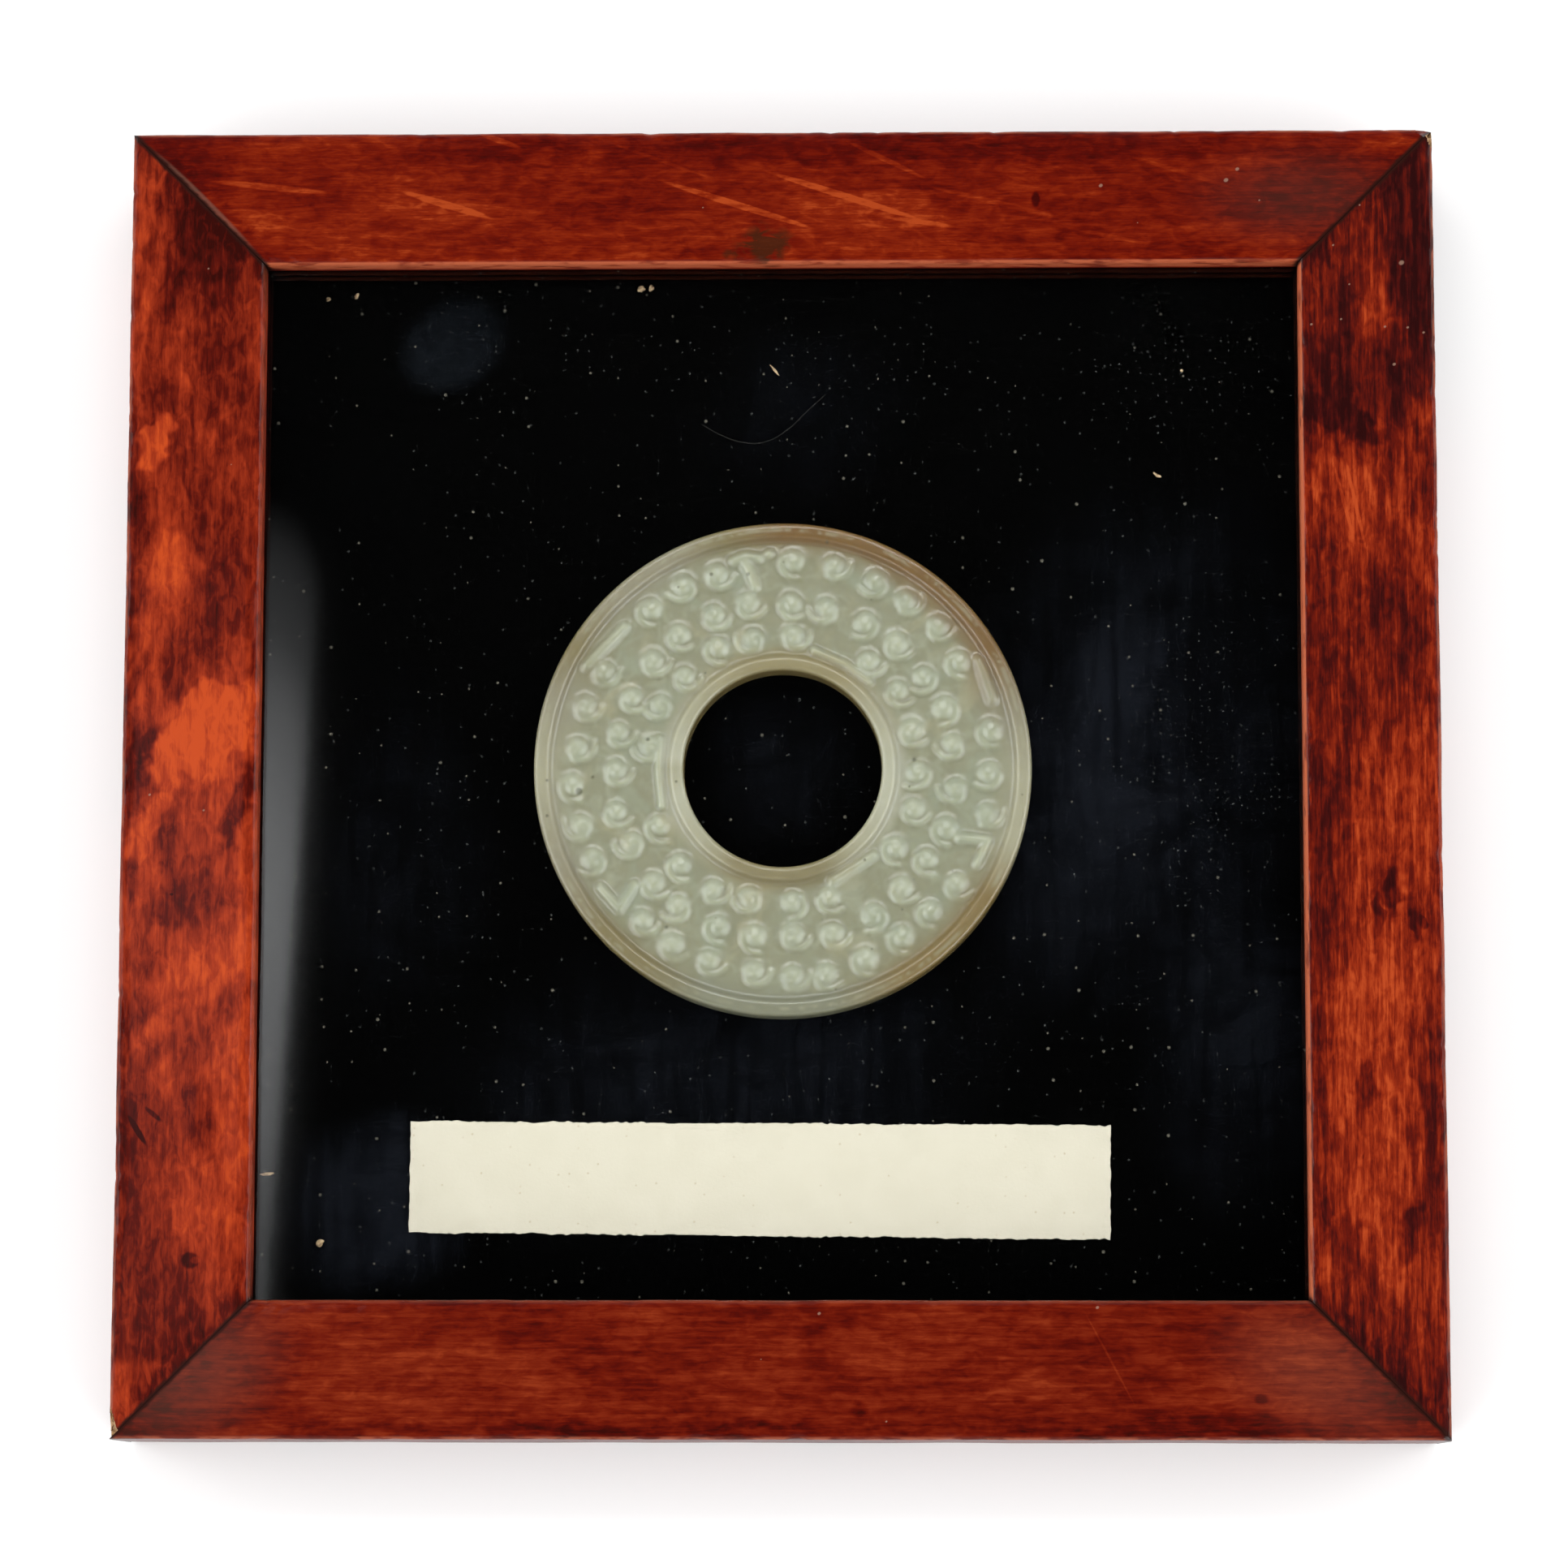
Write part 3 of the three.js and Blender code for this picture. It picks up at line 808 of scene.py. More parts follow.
def railOutline():
    # inwards from the outer face, and up
    width, depth, round_ = rails["width"], rails["depth"], rails["arris"]
    rebate, groove, wall = rails["panelRebate"], rails["glassGroove"], rails["innerWall"]
    line = [
        (rails["backEdgeEase"], 0), (rebate["start"], 0), (rebate["start"], rebate["height"]),
        (wall, rebate["height"]), (wall, groove["bottom"]), (groove["start"], groove["bottom"]),
        (groove["start"], groove["top"]), (width, groove["top"]),
    ]
    line += arc(width - round_, depth - round_, round_, 0, 90, 5)
    line += arc(round_, depth - round_, round_, 90, 180, 5)
    line += [(0, rails["backEdgeEase"])]

    def gapAt(start, end):
        outside = min(start[1], end[1]) > depth - mm or max(start[0], end[0]) < mm
        return rails["acrossGap"] if outside else rails["size"]
    return fillStretches(line, gapAt)


def selectLongEdges(piece):
    bpy.ops.mesh.select_mode(type="EDGE")
    bpy.ops.mesh.select_all(action="DESELECT")
    stopEditing()
    vertices = piece.data.vertices
    for edge in piece.data.edges:
        start, end = (vertices[i].co for i in edge.vertices)
        edge.select = abs((end - start).normalized().x) > 0.99
    bpy.ops.object.mode_set(mode="EDIT")


def makeRailBlank():
    # along X at the bottom of the frame, with both ends mitred
    outline = [(-railHalf, inwards - railHalf, up) for inwards, up in railOutline()]
    piece = drawOutline("railBlank", outline)
    bpy.ops.mesh.edge_face_add()
    bpy.ops.mesh.extrude_region_move(TRANSFORM_OT_translate={"value": (rails["size"] * mm, 0, 0)})
    for end in (1, -1):
        corner = (end * (railHalf - rails["mitreGap"]) * mm, -railHalf * mm, 0)
        bpy.ops.mesh.select_all(action="SELECT")
        bpy.ops.mesh.bisect(plane_co=corner, plane_no=(end, 1, 0), use_fill=True, clear_outer=True)
    bpy.ops.mesh.select_all(action="SELECT")
    bpy.ops.mesh.normals_make_consistent(inside=False)
    selectLongEdges(piece)
    for cuts in rails["cuts"]:
        bpy.ops.mesh.subdivide(number_cuts=cuts)
    bpy.ops.mesh.select_mode(type="VERT")
    stopEditing()
    return piece


def wearRail(piece, seed):
    # rubbed arrises with small knocks, and a face planed by hand
    rng = np.random.default_rng(seed)
    points = readPoints(piece)
    along, inwards, up = points[:, 0], points[:, 1] + railHalf, points[:, 2]
    line = np.stack([along, np.zeros(len(along))], axis=1)
    rub, knocks = rails["rub"], rails["knocks"]
    for number, (edge, way) in enumerate(((0, 1), (rails["width"], -1))):
        bite = rub["least"]
        for (height, length), step in ((rub["long"], 0), (rub["short"], 5)):
            bite = bite + height * slowWaves(line, length, seed + step + number)
        for place, size, deep in rng.uniform(knocks["least"], knocks["most"], (knocks["count"], 3)):
            bite += deep * np.exp(-((along - place) / size) ** 2)
        away = np.hypot(inwards - edge, up - rails["depth"])
        bite = np.clip(bite, 0, rub["most"]) * np.clip(1 - away / rub["reach"], 0, 1)
        points[:, 1] += way * bite
        points[:, 2] -= bite
    face = up > rails["depth"] - 0.05
    points[face, 2] -= rails["planing"] * np.clip(1 + slowWaves(points[face], 22, seed + 9), 0, 2)
    side = inwards < 0.05
    points[side, 1] += rails["planing"] * np.clip(1 + slowWaves(points[side][:, [0, 2]], 18, seed + 12), 0, 2)
    writePoints(piece, points)


def chipRail(piece, chip, seed):
    # the corner is cut off by a plane, and the break is roughened and left as bare wood
    end = chip["end"]
    normal = Vector((end / chip["along"], -1 / chip["inwards"], 1 / chip["down"])).normalized()
    corner = (end * (railHalf - chip["along"]) * mm, -railHalf * mm, rails["depth"] * mm)
    startEditing()
    bpy.ops.mesh.bisect(plane_co=corner, plane_no=normal, use_fill=True, clear_outer=True)
    stopEditing()
    bare = [face for face in piece.data.polygons if face.normal.dot(normal) > 0.999]
    for face in piece.data.polygons:
        face.select = face in bare
    for face in bare:
        face.material_index = 1
    bpy.ops.object.mode_set(mode="EDIT")
    bpy.ops.mesh.select_mode(type="FACE")
    bpy.ops.mesh.poke()
    bpy.ops.mesh.subdivide(number_cuts=3)
    bpy.ops.mesh.select_mode(type="VERT")
    stopEditing()
    used = {i for face in piece.data.polygons if face.material_index == 0 for i in face.vertices}
    inner = [i for i in range(len(piece.data.vertices)) if i not in used]
    points = readPoints(piece)
    rough = 1 + slowWaves(points[inner], 1.6, seed, 6) + slowWaves(points[inner], 0.6, seed + 1)
    points[inner] -= (rails["chipRoughness"] * np.clip(rough, 0, 3))[:, None] * np.array(normal)
    writePoints(piece, points)


def turnRail(degrees):
    # with no window the operator turns the other way round, hence the minus
    startEditing()
    bpy.ops.transform.rotate(value=-math.radians(degrees), orient_axis="Z", center_override=(0, 0, 0))
    stopEditing()


def makeRails():
    blank = makeRailBlank()
    bare = bareWoodFinish()
    for node, look in railLooks.items():
        selectOnly(blank)
        bpy.ops.object.duplicate()
        piece = bpy.context.object
        piece.name = look["piece"]
        piece.data.name = look["piece"]
        dress(piece, woodFinish(look), bare)
        wearRail(piece, look["seed"])
        for chip in look["chips"]:
            chipRail(piece, chip, look["seed"])
        turnRail(look["turn"])
        closeUp(piece, 32)
        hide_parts(node)
        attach(piece, "root")
    bpy.data.objects.remove(blank)
    print("rails:", len(railLooks))


# where the finish changes, in mm inwards from the outer face, up, or away from the mitre
woodFades = {
    "outerArris": (0.5, 0.2),
    "innerArris": (15.2, 15.4),
    "innerArrisUp": (15.4, 16.2),
    "frontUp": (16.9, 17.6),
    "outerShade": (1.4, 0.3),
    "mitreShade": (2.6, 0.2),
    "glueLine": (0.5, 0.1),
}
woodPaint = {
    "light": 1.5,
    # the inner arris: worn paler, with a painted highlight
    "wornAndLitArris": (210, 108, 70),
    # the outer arris: rubbed paler, with a painted highlight
    "rubbedAndLitEdge": (184, 96, 66),
    "glue": (48, 18, 12),
    "dust": (176, 136, 116),
    "veil": (128, 96, 80),
    "bare": (201, 160, 112),
    "bareDark": (150, 104, 66),
    "stain": (60, 30, 11),
}


def woodFinish(look):
    material, tree, shader, place = newFinish(look["piece"] + "Wood", **{
        "Coat Roughness": 0.1, "Coat IOR": 1.5, "IOR": 1.45, "Specular IOR Level": 0.12, "Roughness": 0.36,
    })
    own = stretched(tree, place, (1, 1, 1), turn=-look["turn"])  # the rail's own way round, grain along X
    loose = adrift(tree, place, 0.3, 2.0, 5)
    grain = useGroup(tree, woodGrain, {"Vector": own, "Seed": float(look["seed"])})
    axes = axesOf(tree, own)
    inwards = calc(tree, "ADD", axes["Y"], railHalf)
    mitre = times(tree, calc(tree, "ADD", calc(tree, "ABSOLUTE", axes["X"]), axes["Y"]), -0.7071)

    # the tone, from 0 for the darkest wood to 1 for the lightest: soft patches first, the grain over them
    tone = times(tree, calc(tree, "SUBTRACT", grain["Figure"], 0.5), look["figure"])
    tone = addPatches(tree, loose, tone, look["patches"])
    tone = calc(tree, "MULTIPLY_ADD", calc(tree, "TANH", times(tree, tone, 2.2)), 0.44, 0.52)
    for layer in ("Mottle", "Streaks", "Fibres"):
        tone = nudged(tree, tone, grain[layer], look[layer.lower()])
    tone = addPatches(tree, place, tone, look["marks"])
    ragged = nudged(tree, mitre, grain["Mottle"], 1.2)
    tone = calc(tree, "MULTIPLY_ADD", fade(tree, ragged, *woodFades["mitreShade"]), -0.16, tone)
    tone = calc(tree, "MULTIPLY_ADD", fade(tree, inwards, *woodFades["outerShade"]), -0.06, tone)
    light = woodPaint["light"]
    stops = [(0.04 + 0.23 * i, paint(*colour, light)) for i, colour in enumerate(look["tones"])]
    colour = colourRamp(tree, tone, stops)
    colour = glaze(tree, addPatches(tree, place, 0.0, look["veils"]), colour, woodPaint, "veil")
    stain = times(tree, addPatches(tree, loose, 0.0, look["stains"]), fade(tree, grain["Mottle"], 0.0, 0.5))
    colour = glaze(tree, times(tree, stain, 0.95, clamp=True), colour, woodPaint, "stain")

    # rubbed arrises, paler both from wear and as a painted highlight, glue at the mitres, dust
    broken = noise(tree, stretched(tree, own, (0.35, 1.2, 1.2)), 1.0, 4.0)
    # the inner arris: worn paler, and a painted highlight on it, by a different amount on each rail
    inner = fade(tree, inwards, *woodFades["innerArris"])
    inner = times(tree, inner, fade(tree, axes["Z"], *woodFades["innerArrisUp"]))
    inner = times(tree, inner, fade(tree, broken, 0.34, 0.52, 0.25, 1.0))
    inner = times(tree, inner, look["innerWearAndHighlight"])
    colour = glaze(tree, inner, colour, woodPaint, "wornAndLitArris")
    # the outer arris: rubbed paler, and a painted highlight where it catches the light
    front = fade(tree, axes["Z"], *woodFades["frontUp"])
    outer = times(tree, fade(tree, inwards, *woodFades["outerArris"]), front)
    outer = times(tree, outer, fade(tree, broken, 0.42, 0.62, 0.1, 0.8))
    colour = glaze(tree, outer, colour, woodPaint, "rubbedAndLitEdge")
    glue = fade(tree, nudged(tree, mitre, broken, 0.5), *woodFades["glueLine"])
    colour = glaze(tree, glue, colour, woodPaint, "glue")
    dust = [(x, y, size, size * 0.8, 30, 1.0, 0.5) for x, y, size in look["specks"]]
    dust = times(tree, addPatches(tree, place, 0.0, dust), 0.6, clamp=True)
    colour = glaze(tree, dust, colour, woodPaint, "dust")

    tree.links.new(colour, shader.inputs["Base Color"])
    worn = calc(tree, "MULTIPLY_ADD", inner, -0.12, 0.15, clamp=True)
    tree.links.new(worn, shader.inputs["Coat Weight"])
    height = calc(tree, "MULTIPLY_ADD", grain["Fibres"], 0.5, times(tree, grain["Streaks"], 0.5))
    feedBump(tree, shader, height, 0.3, 0.04)
    return material


def bareWoodFinish():
    material, tree, shader, place = newFinish("bareWood", Roughness=0.8)
    fibres = noise(tree, stretched(tree, place, (2.0, 2.0, 6.0)), 1.0, 4.0)
    stops = [(0.3, toned(woodPaint, "bareDark")), (0.6, toned(woodPaint, "bare"))]
    colour = colourRamp(tree, fibres, stops, smooth=True)
    tree.links.new(colour, shader.inputs["Base Color"])
    feedBump(tree, shader, fibres, 0.6, 0.2)
    return material


# The black ground and the glass keep their own solids

ground = {
    "light": 1.35,
    "black": (1, 1, 1),
    # bluish haze: partly a smeared film on the black, partly a painted reflection in the glass
    "hazeAndReflection": (20, 22, 28),
    "smear": (20, 23, 28),
    "dust": (120, 122, 120),
    "tan": (150, 144, 130),
    # x, y, length, width, turn, amount, and softness if it isn't 0.9
    "hazeAndReflectionPatches": [
        (40, 4, 76, 54, 70, 1.1), (-8, -34, 80, 40, 10, 0.8), (2, 44, 34, 26, 20, 0.3),
        (-44, -8, 26, 50, 0, 0.4), (52, -30, 26, 50, 0, 0.8), (0, 2, 24, 24, 0, 0.5, 0.8),
        (-47, -48, 30, 24, 20, 1.5, 0.6),
    ],
    "fingerprint": [(-38.7, 52.4, 15.5, 12.5, 35, 1.0, 0.4), (-39, 52.6, 12.5, 10, 35, 0.5, 0.4)],
    "dustings": [
        (48, 4, 26, 56, 0, 0.9), (48, 50, 34, 24, 0, 0.9), (-40, 57, 40, 6, 0, 0.4),
        (0, 52, 90, 16, 0, 0.3),
    ],
    # specks: how many cells in a mm, their size, how strongly they show, and their colour
    "fine": {"cells": 1.1, "size": 0.13, "amount": 0.32, "colour": "dust"},
    "faint": {"cells": 0.5, "size": 0.075, "amount": 0.19, "colour": "dust", "turn": 31, "share": 0.4},
    "sparse": {"cells": 0.3, "size": 0.055, "amount": 0.4, "colour": "tan", "share": 0.34},
}


def groundFinish():
    material, tree, shader, place = newFinish("blackGround", **{"Roughness": 0.8, "Specular IOR Level": 0.01})
    cloud = noise(tree, place, 0.09, 5.0, 1.2, 0.6)
    wiped = noise(tree, stretched(tree, place, (0.5, 0.05, 1), turn=8), 1.0, 4.0, 0.6)
    # bluish clouds on the black: partly a smeared film, partly a painted reflection in the glass
    hazeAndReflection = addPatches(tree, adrift(tree, place, 0.08, 3.0, 4), 0.0, ground["hazeAndReflectionPatches"])
    hazeAndReflection = times(tree, hazeAndReflection, fade(tree, cloud, 0.34, 0.68, 0.3, 1.0))
    hazeAndReflection = times(tree, hazeAndReflection, fade(tree, wiped, 0.3, 0.7, 0.5, 1.2))
    colour = glaze(tree, hazeAndReflection, toned(ground, "black"), ground, "hazeAndReflection")
    finger = addPatches(tree, place, 0.0, ground["fingerprint"])
    finger = times(tree, finger, fade(tree, noise(tree, place, 0.9, 3.0), 0.3, 0.6, 0.55, 1.0))
    colour = glaze(tree, times(tree, finger, 0.55, clamp=True), colour, ground, "smear")
    thick = times(tree, addPatches(tree, place, 0.05, ground["dustings"]), 0.5)
    turned = stretched(tree, place, (1, 1, 1), turn=ground["faint"]["turn"])
    for name, vector, share in (
        ("fine", place, thick),
        ("faint", turned, ground["faint"]["share"]),
        ("sparse", place, ground["sparse"]["share"]),
    ):
        dust = ground[name]
        mask = useGroup(tree, specks, {
            "Vector": vector, "Cells": dust["cells"], "Size": dust["size"], "Share": share,
        })["Mask"]
        colour = glaze(tree, times(tree, mask, dust["amount"]), colour, ground, dust["colour"])
    tree.links.new(colour, shader.inputs["Base Color"])
    return material


def glassFinish():
    # clear to shadow rays, so that the light reaches what lies behind it
    material = bpy.data.materials.new("clearGlass")
    material.use_nodes = True
    tree = material.node_tree
    shader = tree.nodes["Principled BSDF"]
    for socket, value in {
        "Base Color": (0.97, 0.985, 0.98, 1), "Metallic": 0.0, "Roughness": 0.035, "IOR": 1.5,
        "Transmission Weight": 1.0,
    }.items():
        shader.inputs[socket].default_value = value
    clear = addNode(tree, "BsdfTransparent", {"Color": (0.9, 0.92, 0.91, 1)})
    rays = addNode(tree, "LightPath")
    mixed = addNode(tree, "MixShader", {
        0: rays.outputs["Is Shadow Ray"], 1: shader.outputs[0], 2: clear.outputs[0],
    })
    tree.links.new(mixed.outputs[0], tree.nodes["Material Output"].inputs["Surface"])
    return material


def finishSheets():
    for node, finish, slot in (
        ("ground_panel", groundFinish(), "black_ground"),
        ("glass_pane", glassFinish(), "glass"),
    ):
        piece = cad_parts[node]
        dress(piece, finish)
    print("ground and glass finished")


# The caption strip, left bare

card = {
    "centre": (-2.5, -45.2),
    "length": 80.25,
    "left": 12.75,
    "right": 13.125,
    "thickness": 0.25,
    "lean": -0.45,
    "cuts": (240, 40),
    "trim": 0.04,  # what the scissors took off each edge
    "fibres": [(0.05, 0.9, 21), (0.06, 7, 22), (0.05, 0.5, 26)],  # height, length and seed
    "endFibre": (0.05, 1.1, 23),
    "nicks": [(-24, 0.8), (21.5, 0.7), (13, 0.5), (-31, 0.6), (33, 0.5)],  # place along the edge, and size
    "nickDepth": 0.12,
    "cockle": (0.03, 9, 24),
    "light": 1.42,
    "paper": (234, 225, 206),
    "shade": (222, 213, 192),
    "fleck": (186, 160, 124),
}


def cutStrip(points):
    # a flat grid is narrowed to the strip, with hand-cut edges and a little torn fibre
    along = points[:, 0] / card["length"] + 0.5
    across = points[:, 1] / card["length"]  # from -0.5 to 0.5
    width = card["left"] + (card["right"] - card["left"]) * along
    line = points[:, [0, 0]] * (1, 0)
    fibre = 0
    for height, length, seed in card["fibres"]:
        fibre = fibre + height * slowWaves(line, length, seed)
    for place, size in card["nicks"]:
        fibre += card["nickDepth"] * np.exp(-((points[:, 0] - place) / size) ** 2)
    edges = np.clip((np.abs(across) - 0.47) / 0.03, 0, 1)
    points[:, 1] = across * width
    points[:, 1] += np.sign(across) * fibre * edges - card["trim"] * np.sign(across)
    side = np.stack([points[:, 1], np.zeros(len(points))], axis=1)
    ends = np.clip((np.abs(along - 0.5) - 0.494) / 0.006, 0, 1)
    height, length, seed = card["endFibre"]
    points[:, 0] += ends * np.sign(along - 0.5) * (height * slowWaves(side, length, seed) - card["trim"])


def makeCaptionStrip():
    low = np.array(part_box("caption_card")[0]) / mm
    bpy.ops.object.select_all(action="DESELECT")
    columns, rows = card["cuts"]
    bpy.ops.mesh.primitive_grid_add(x_subdivisions=columns, y_subdivisions=rows, size=card["length"] * mm)
    piece = bpy.context.object
    piece.name = "captionStrip"
    points = readPoints(piece)
    cutStrip(points)
    points[:, :2] = turnedOnPlan(points[:, :2], card["lean"], card["centre"])
    points[:, 2] = low[2]
    writePoints(piece, points)
    startEditing()
    bpy.ops.mesh.extrude_region_move(TRANSFORM_OT_translate={"value": (0, 0, card["thickness"] * mm)})
    stopEditing()
    points = readPoints(piece)
    top = points[:, 2] > low[2] + card["thickness"] / 2
    height, length, seed = card["cockle"]
    points[top, 2] -= height * np.clip(1 + slowWaves(points[top], length, seed), 0, 2)
    writePoints(piece, points)
    dress(piece, paperFinish())
    closeUp(piece, 50)
    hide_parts("caption_card")
    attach(piece, "root")
    print("caption strip:", len(piece.data.polygons), "faces")


def paperFinish():
    material, tree, shader, place = newFinish("creamPaper", Roughness=0.92)
    cloud = noise(tree, place, 0.25, 4.0, 0.5)
    pulp = noise(tree, place, 2.2, 5.0, 0.2, 0.6)
    colour = glaze(tree, fade(tree, cloud, 0.35, 0.7, 0.0, 0.3), toned(card, "paper"), card, "shade")
    colour = glaze(tree, fade(tree, pulp, 0.5, 0.75, 0.0, 0.3), colour, card, "shade")
    flecks = useGroup(tree, specks, {"Vector": place, "Cells": 0.9, "Size": 0.12, "Share": 0.14})["Mask"]
    colour = glaze(tree, times(tree, flecks, 0.45), colour, card, "fleck")
    tree.links.new(colour, shader.inputs["Base Color"])
    feedBump(tree, shader, pulp, 0.5, 0.05)
    return material


# Crumbs, a splinter and a hair lie behind the glass

litter = {
    # x, y, length, width, turn
    "crumbs": [
        (-52.8, -52.5, 1.0, 0.75, 20), (-16.6, 59.0, 0.9, 0.7, 0), (-15.4, 59.1, 0.7, 0.6, 60),
        (-0.9, 49.2, 1.5, 0.3, -50), (43.5, 36.7, 1.0, 0.4, -30), (-59.0, -44.6, 1.5, 0.35, 5),
        (-53.3, 57.9, 0.55, 0.45, 0), (-50.0, 58.3, 0.75, 0.4, 35), (46.5, 49.1, 0.35, 0.25, 10),
    ],
    "hair": [(-9.5, 42.9), (-7, 41.5), (-4.5, 40.7), (-2, 40.8), (0.5, 42.2), (2.8, 44.4), (5, 46.4)],
    "hairWidth": 0.016,
    "lumps": {"height": 0.25, "length": 0.7, "seed": 40},
    "flatness": 0.6,
    "light": 1,
    "pale": (205, 178, 140),
    "dark": (140, 112, 84),
    "hairColour": (60, 58, 54),
}


def makeCrumb(number, floorHeight, material):
    x, y, length, width, turn = litter["crumbs"][number]
    lumps = litter["lumps"]
    bpy.ops.object.select_all(action="DESELECT")
    bpy.ops.mesh.primitive_ico_sphere_add(subdivisions=3, radius=mm / 2)
    piece = bpy.context.object
    points = readPoints(piece)
    points *= 1 + lumps["height"] * slowWaves(points, lumps["length"], lumps["seed"] + number)[:, None]
    points *= (length, width, min(length, width) * litter["flatness"])
    points[:, :2] = turnedOnPlan(points[:, :2], turn, (x, y))
    points[:, 2] += floorHeight - points[:, 2].min()
    writePoints(piece, points)
    piece.data.materials.append(material)
    return piece


def makeHair(floorHeight):
    bpy.ops.object.select_all(action="DESELECT")
    bpy.ops.curve.primitive_bezier_curve_add()
    hair = bpy.context.object
    spline = hair.data.splines[0]
    spline.bezier_points.add(len(litter["hair"]) - len(spline.bezier_points))
    for point, (x, y) in zip(spline.bezier_points, litter["hair"]):
        point.co = Vector((x, y, floorHeight + litter["hairWidth"])) * mm
        point.handle_left_type = point.handle_right_type = "AUTO"
    hair.data.bevel_depth = litter["hairWidth"] * mm
    hair.data.bevel_resolution = 1
    hair.data.use_fill_caps = True
    bpy.ops.object.convert(target="MESH")
    hair = bpy.context.object
    finish = newFinish("hair", **{"Base Color": toned(litter, "hairColour"), "Roughness": 0.6})[0]
    hair.data.materials.append(finish)
    return hair


def makeLitter():
    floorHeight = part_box("ground_panel")[1].z / mm
    material, tree, shader, place = newFinish("crumb", Roughness=0.8)
    stops = [(0.3, toned(litter, "dark")), (0.7, toned(litter, "pale"))]
    shade = colourRamp(tree, noise(tree, place, 3.0), stops, smooth=True)
    tree.links.new(shade, shader.inputs["Base Color"])
    made = [makeCrumb(number, floorHeight, material) for number in range(len(litter["crumbs"]))]
    made.append(makeHair(floorHeight))
    bpy.ops.object.select_all(action="DESELECT")
    for piece in made:
        piece.select_set(True)
    bpy.context.view_layer.objects.active = made[0]
    bpy.ops.object.join()
    piece = bpy.context.object
    piece.name = "crumbsAndHair"
    closeUp(piece)
    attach(piece, "root")
    print("crumbs and hair:", len(piece.data.polygons), "faces")


# The studio: a pale floor, soft lights, and a camera nearly overhead

studio = {
    "cameraPlace": (14.29, -85.2, 620.2),
    "cameraTurn": (0.13879, 0.02272, 0.00171),
    "lens": 123.1,
    "sensor": 36,
    "floorSize": 6000,
    # each lamp faces the origin: its place, its width and height in mm, and its radiance
    "lamps": {
        "leftBox": {"place": (-520, -150, 480), "size": (900, 440), "radiance": 2.9},
        "rightBox": {"place": (520, -150, 480), "size": (900, 440), "radiance": 2.9},
        "backFill": {"place": (0, 560, 1000), "size": (700, 340), "radiance": 5.8},
    },
    "unseenInGloss": ["backFill"],
    # a strip of light beside the camera, mirrored in the glass
    "strip": {
        "place": (-153, 50, 600), "size": (60, 200), "roll": -3.3,
        "corner": {"width": 14, "drop": 14},
        "tint": (0.985, 0.992, 1.01), "strength": 2.0,
        # distances along it in mm, with the radiance there
        "grades": [
            (-92, 0.67), (-58, 0.81), (-42, 1.24), (-26, 1.48), (5, 1.76), (25, 1.62), (44, 1.19),
            (53, 0.95), (68, 0.4), (81, 0.27), (87, 0.18), (93, 0.06), (97, 0.0),
        ],
    },
    "skyDark": 0.0,
    "skyPale": 0.7,
    "floor": 0.96,
}


def makeLamp(name, place, size, radiance):
    lamp = bpy.data.lights.new(name, "AREA")
    lamp.shape = "RECTANGLE"
    lamp.size, lamp.size_y = (side * mm for side in size)
    lamp.energy = radiance * math.pi * lamp.size * lamp.size_y
    holder = bpy.data.objects.new(name, lamp)
    bpy.context.scene.collection.objects.link(holder)
    holder.location = Vector(place) * mm
    aim = Vector((0, 0, 0)) - Vector(place)
    holder.rotation_euler = aim.to_track_quat("-Z", "Y").to_euler()
    holder.visible_glossy = name not in studio["unseenInGloss"]


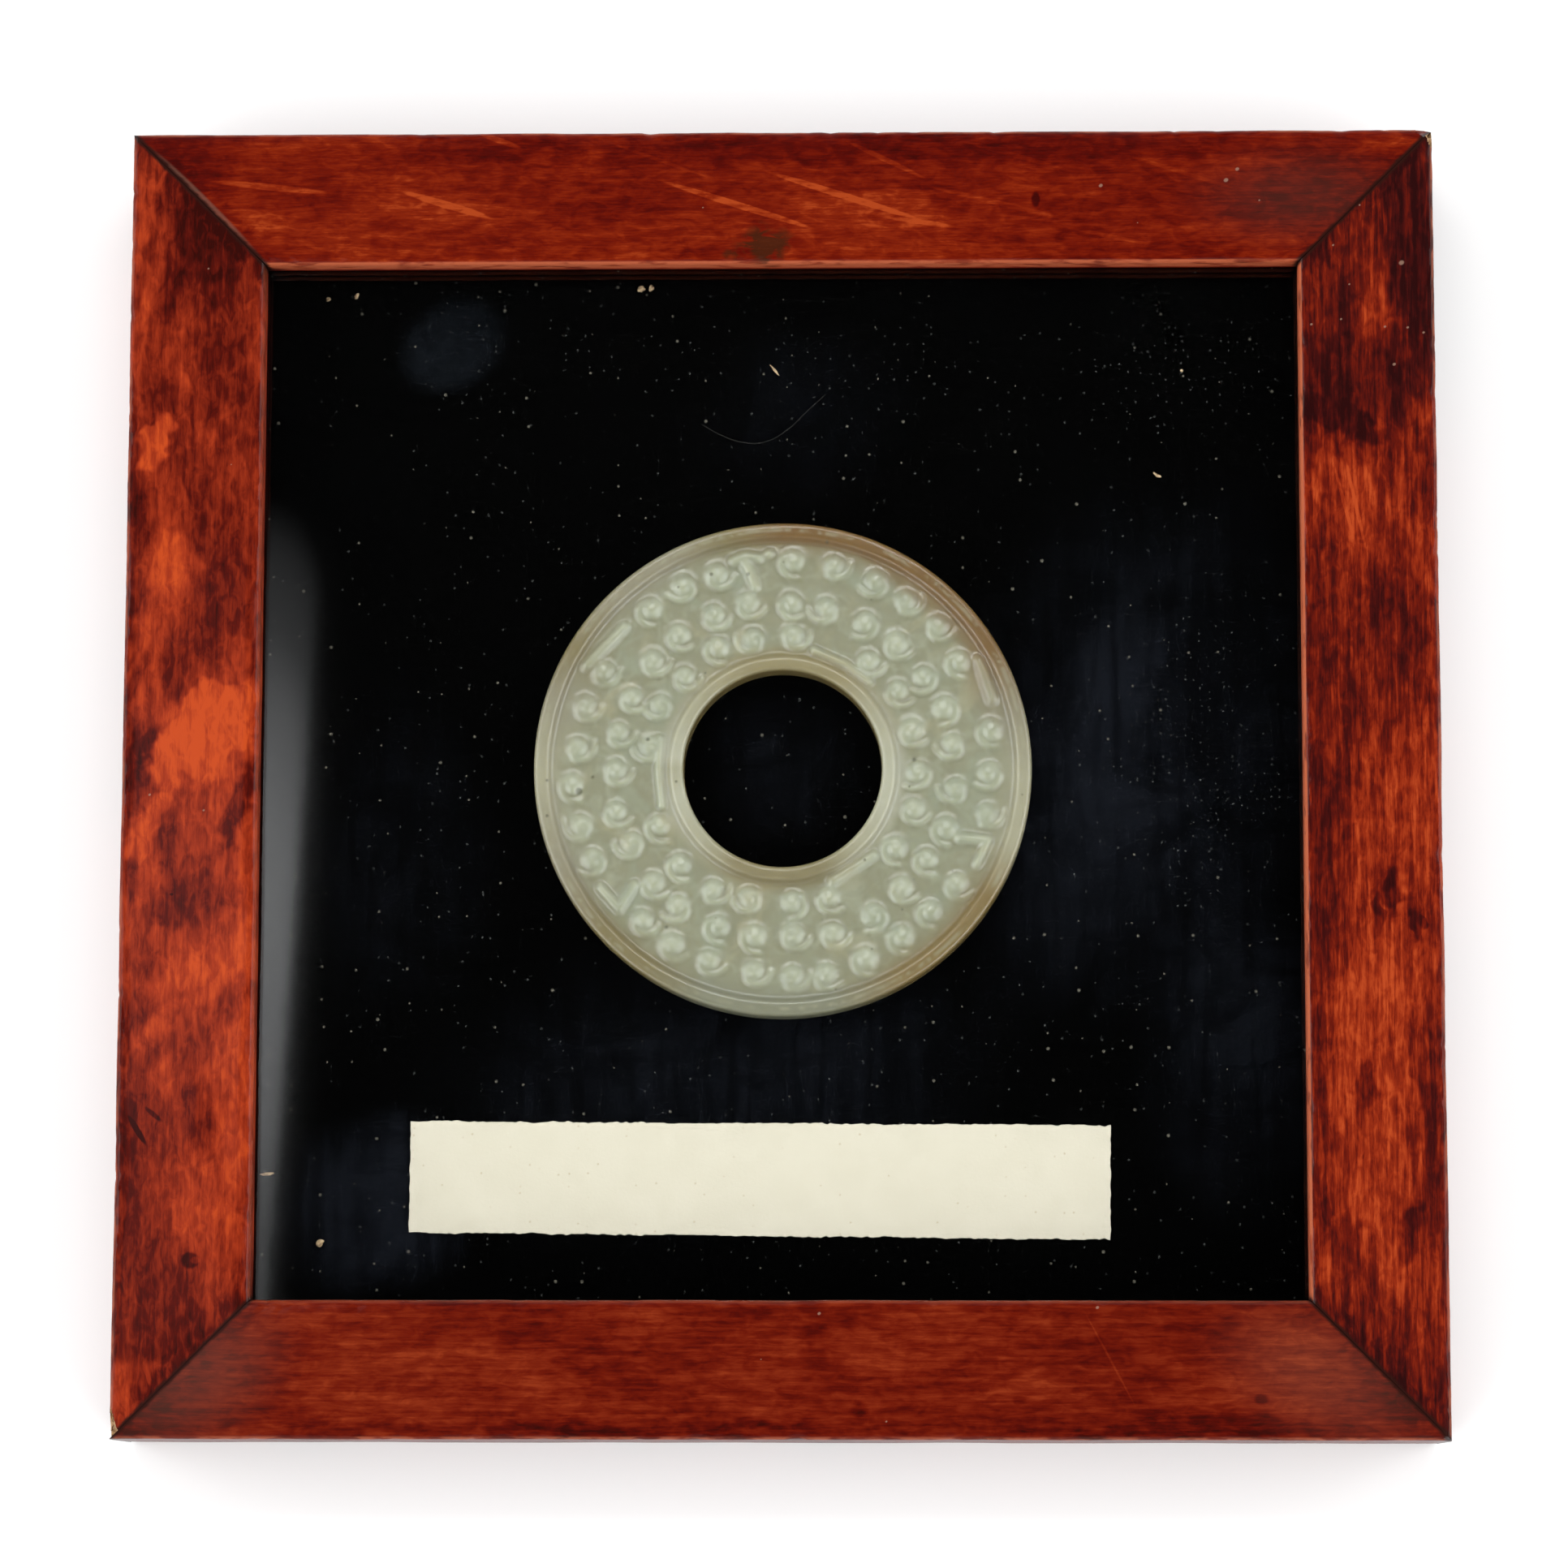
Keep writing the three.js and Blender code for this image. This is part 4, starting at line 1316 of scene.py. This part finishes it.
def stripFinish(strip):
    # brighter and dimmer along its length, with one far corner rounded off
    material, tree, shader, place = newFinish("stripOfLight", **{
        "Base Color": (0, 0, 0, 1), "Specular IOR Level": 0.0, "Emission Strength": strip["strength"],
    })
    axes = axesOf(tree, place)
    (width, length), corner = strip["size"], strip["corner"]
    past = calc(tree, "SUBTRACT", axes["X"], width / 2 - corner["width"])
    past = calc(tree, "MAXIMUM", past, 0.0)
    rounded = calc(tree, "POWER", calc(tree, "DIVIDE", past, corner["width"]), 3.0)
    along = calc(tree, "ADD", axes["Y"], times(tree, rounded, corner["drop"]))
    share = calc(tree, "MULTIPLY_ADD", along, 1 / length, 0.5)
    stops = []
    for distance, radiance in strip["grades"]:
        colour = [radiance / strip["strength"] * tint for tint in strip["tint"]]
        stops.append((distance / length + 0.5, (*colour, 1.0)))
    tree.links.new(colourRamp(tree, share, stops), shader.inputs["Emission Color"])
    return material


def makeStrip():
    strip = studio["strip"]
    piece = addPlane("lightStrip", 1)
    piece.scale = (*strip["size"], 1)
    bpy.ops.object.transform_apply(location=False, rotation=False, scale=True)
    piece.location = Vector(strip["place"]) * mm
    piece.rotation_euler = (0, 0, math.radians(strip["roll"]))
    piece.visible_camera = False
    piece.visible_diffuse = False
    piece.data.materials.append(stripFinish(strip))


def makeSky():
    # pale all round and black overhead, so that the glass stays dark from above
    world = bpy.data.worlds.new("studioSky")
    world.use_nodes = True
    bpy.context.scene.world = world
    tree = world.node_tree
    up = axesOf(tree, addNode(tree, "TexCoord").outputs["Generated"])["Z"]
    pale, dark = ((studio[name],) * 3 + (1.0,) for name in ("skyPale", "skyDark"))
    shade = colourRamp(tree, up, [(0.0, pale), (0.76, pale), (0.93, dark)], smooth=True)
    tree.links.new(shade, tree.nodes["Background"].inputs["Color"])


def makeFloor():
    floor = addPlane("studioFloor", studio["floorSize"])
    material = bpy.data.materials.new("palePaper")
    material.use_nodes = True
    shader = material.node_tree.nodes["Principled BSDF"]
    for socket, value in {
        "Base Color": (*[studio["floor"]] * 3, 1), "Roughness": 1.0, "Specular IOR Level": 0.0,
    }.items():
        shader.inputs[socket].default_value = value
    floor.data.materials.append(material)


def makeCamera():
    lens = bpy.data.cameras.new("camera")
    lens.lens = studio["lens"]
    lens.sensor_width = studio["sensor"]
    lens.clip_start, lens.clip_end = 0.01, 20
    camera = bpy.data.objects.new("camera", lens)
    bpy.context.scene.collection.objects.link(camera)
    camera.location = Vector(studio["cameraPlace"]) * mm
    camera.rotation_euler = studio["cameraTurn"]
    bpy.context.scene.camera = camera


makeJadeRing()
makeRails()
finishSheets()
makeCaptionStrip()
makeLitter()

makeFloor()
makeSky()
for name, lamp in studio["lamps"].items():
    makeLamp(name, **lamp)
makeStrip()
makeCamera()
bpy.context.scene.view_settings.view_transform = "Standard"
print("studio ready")
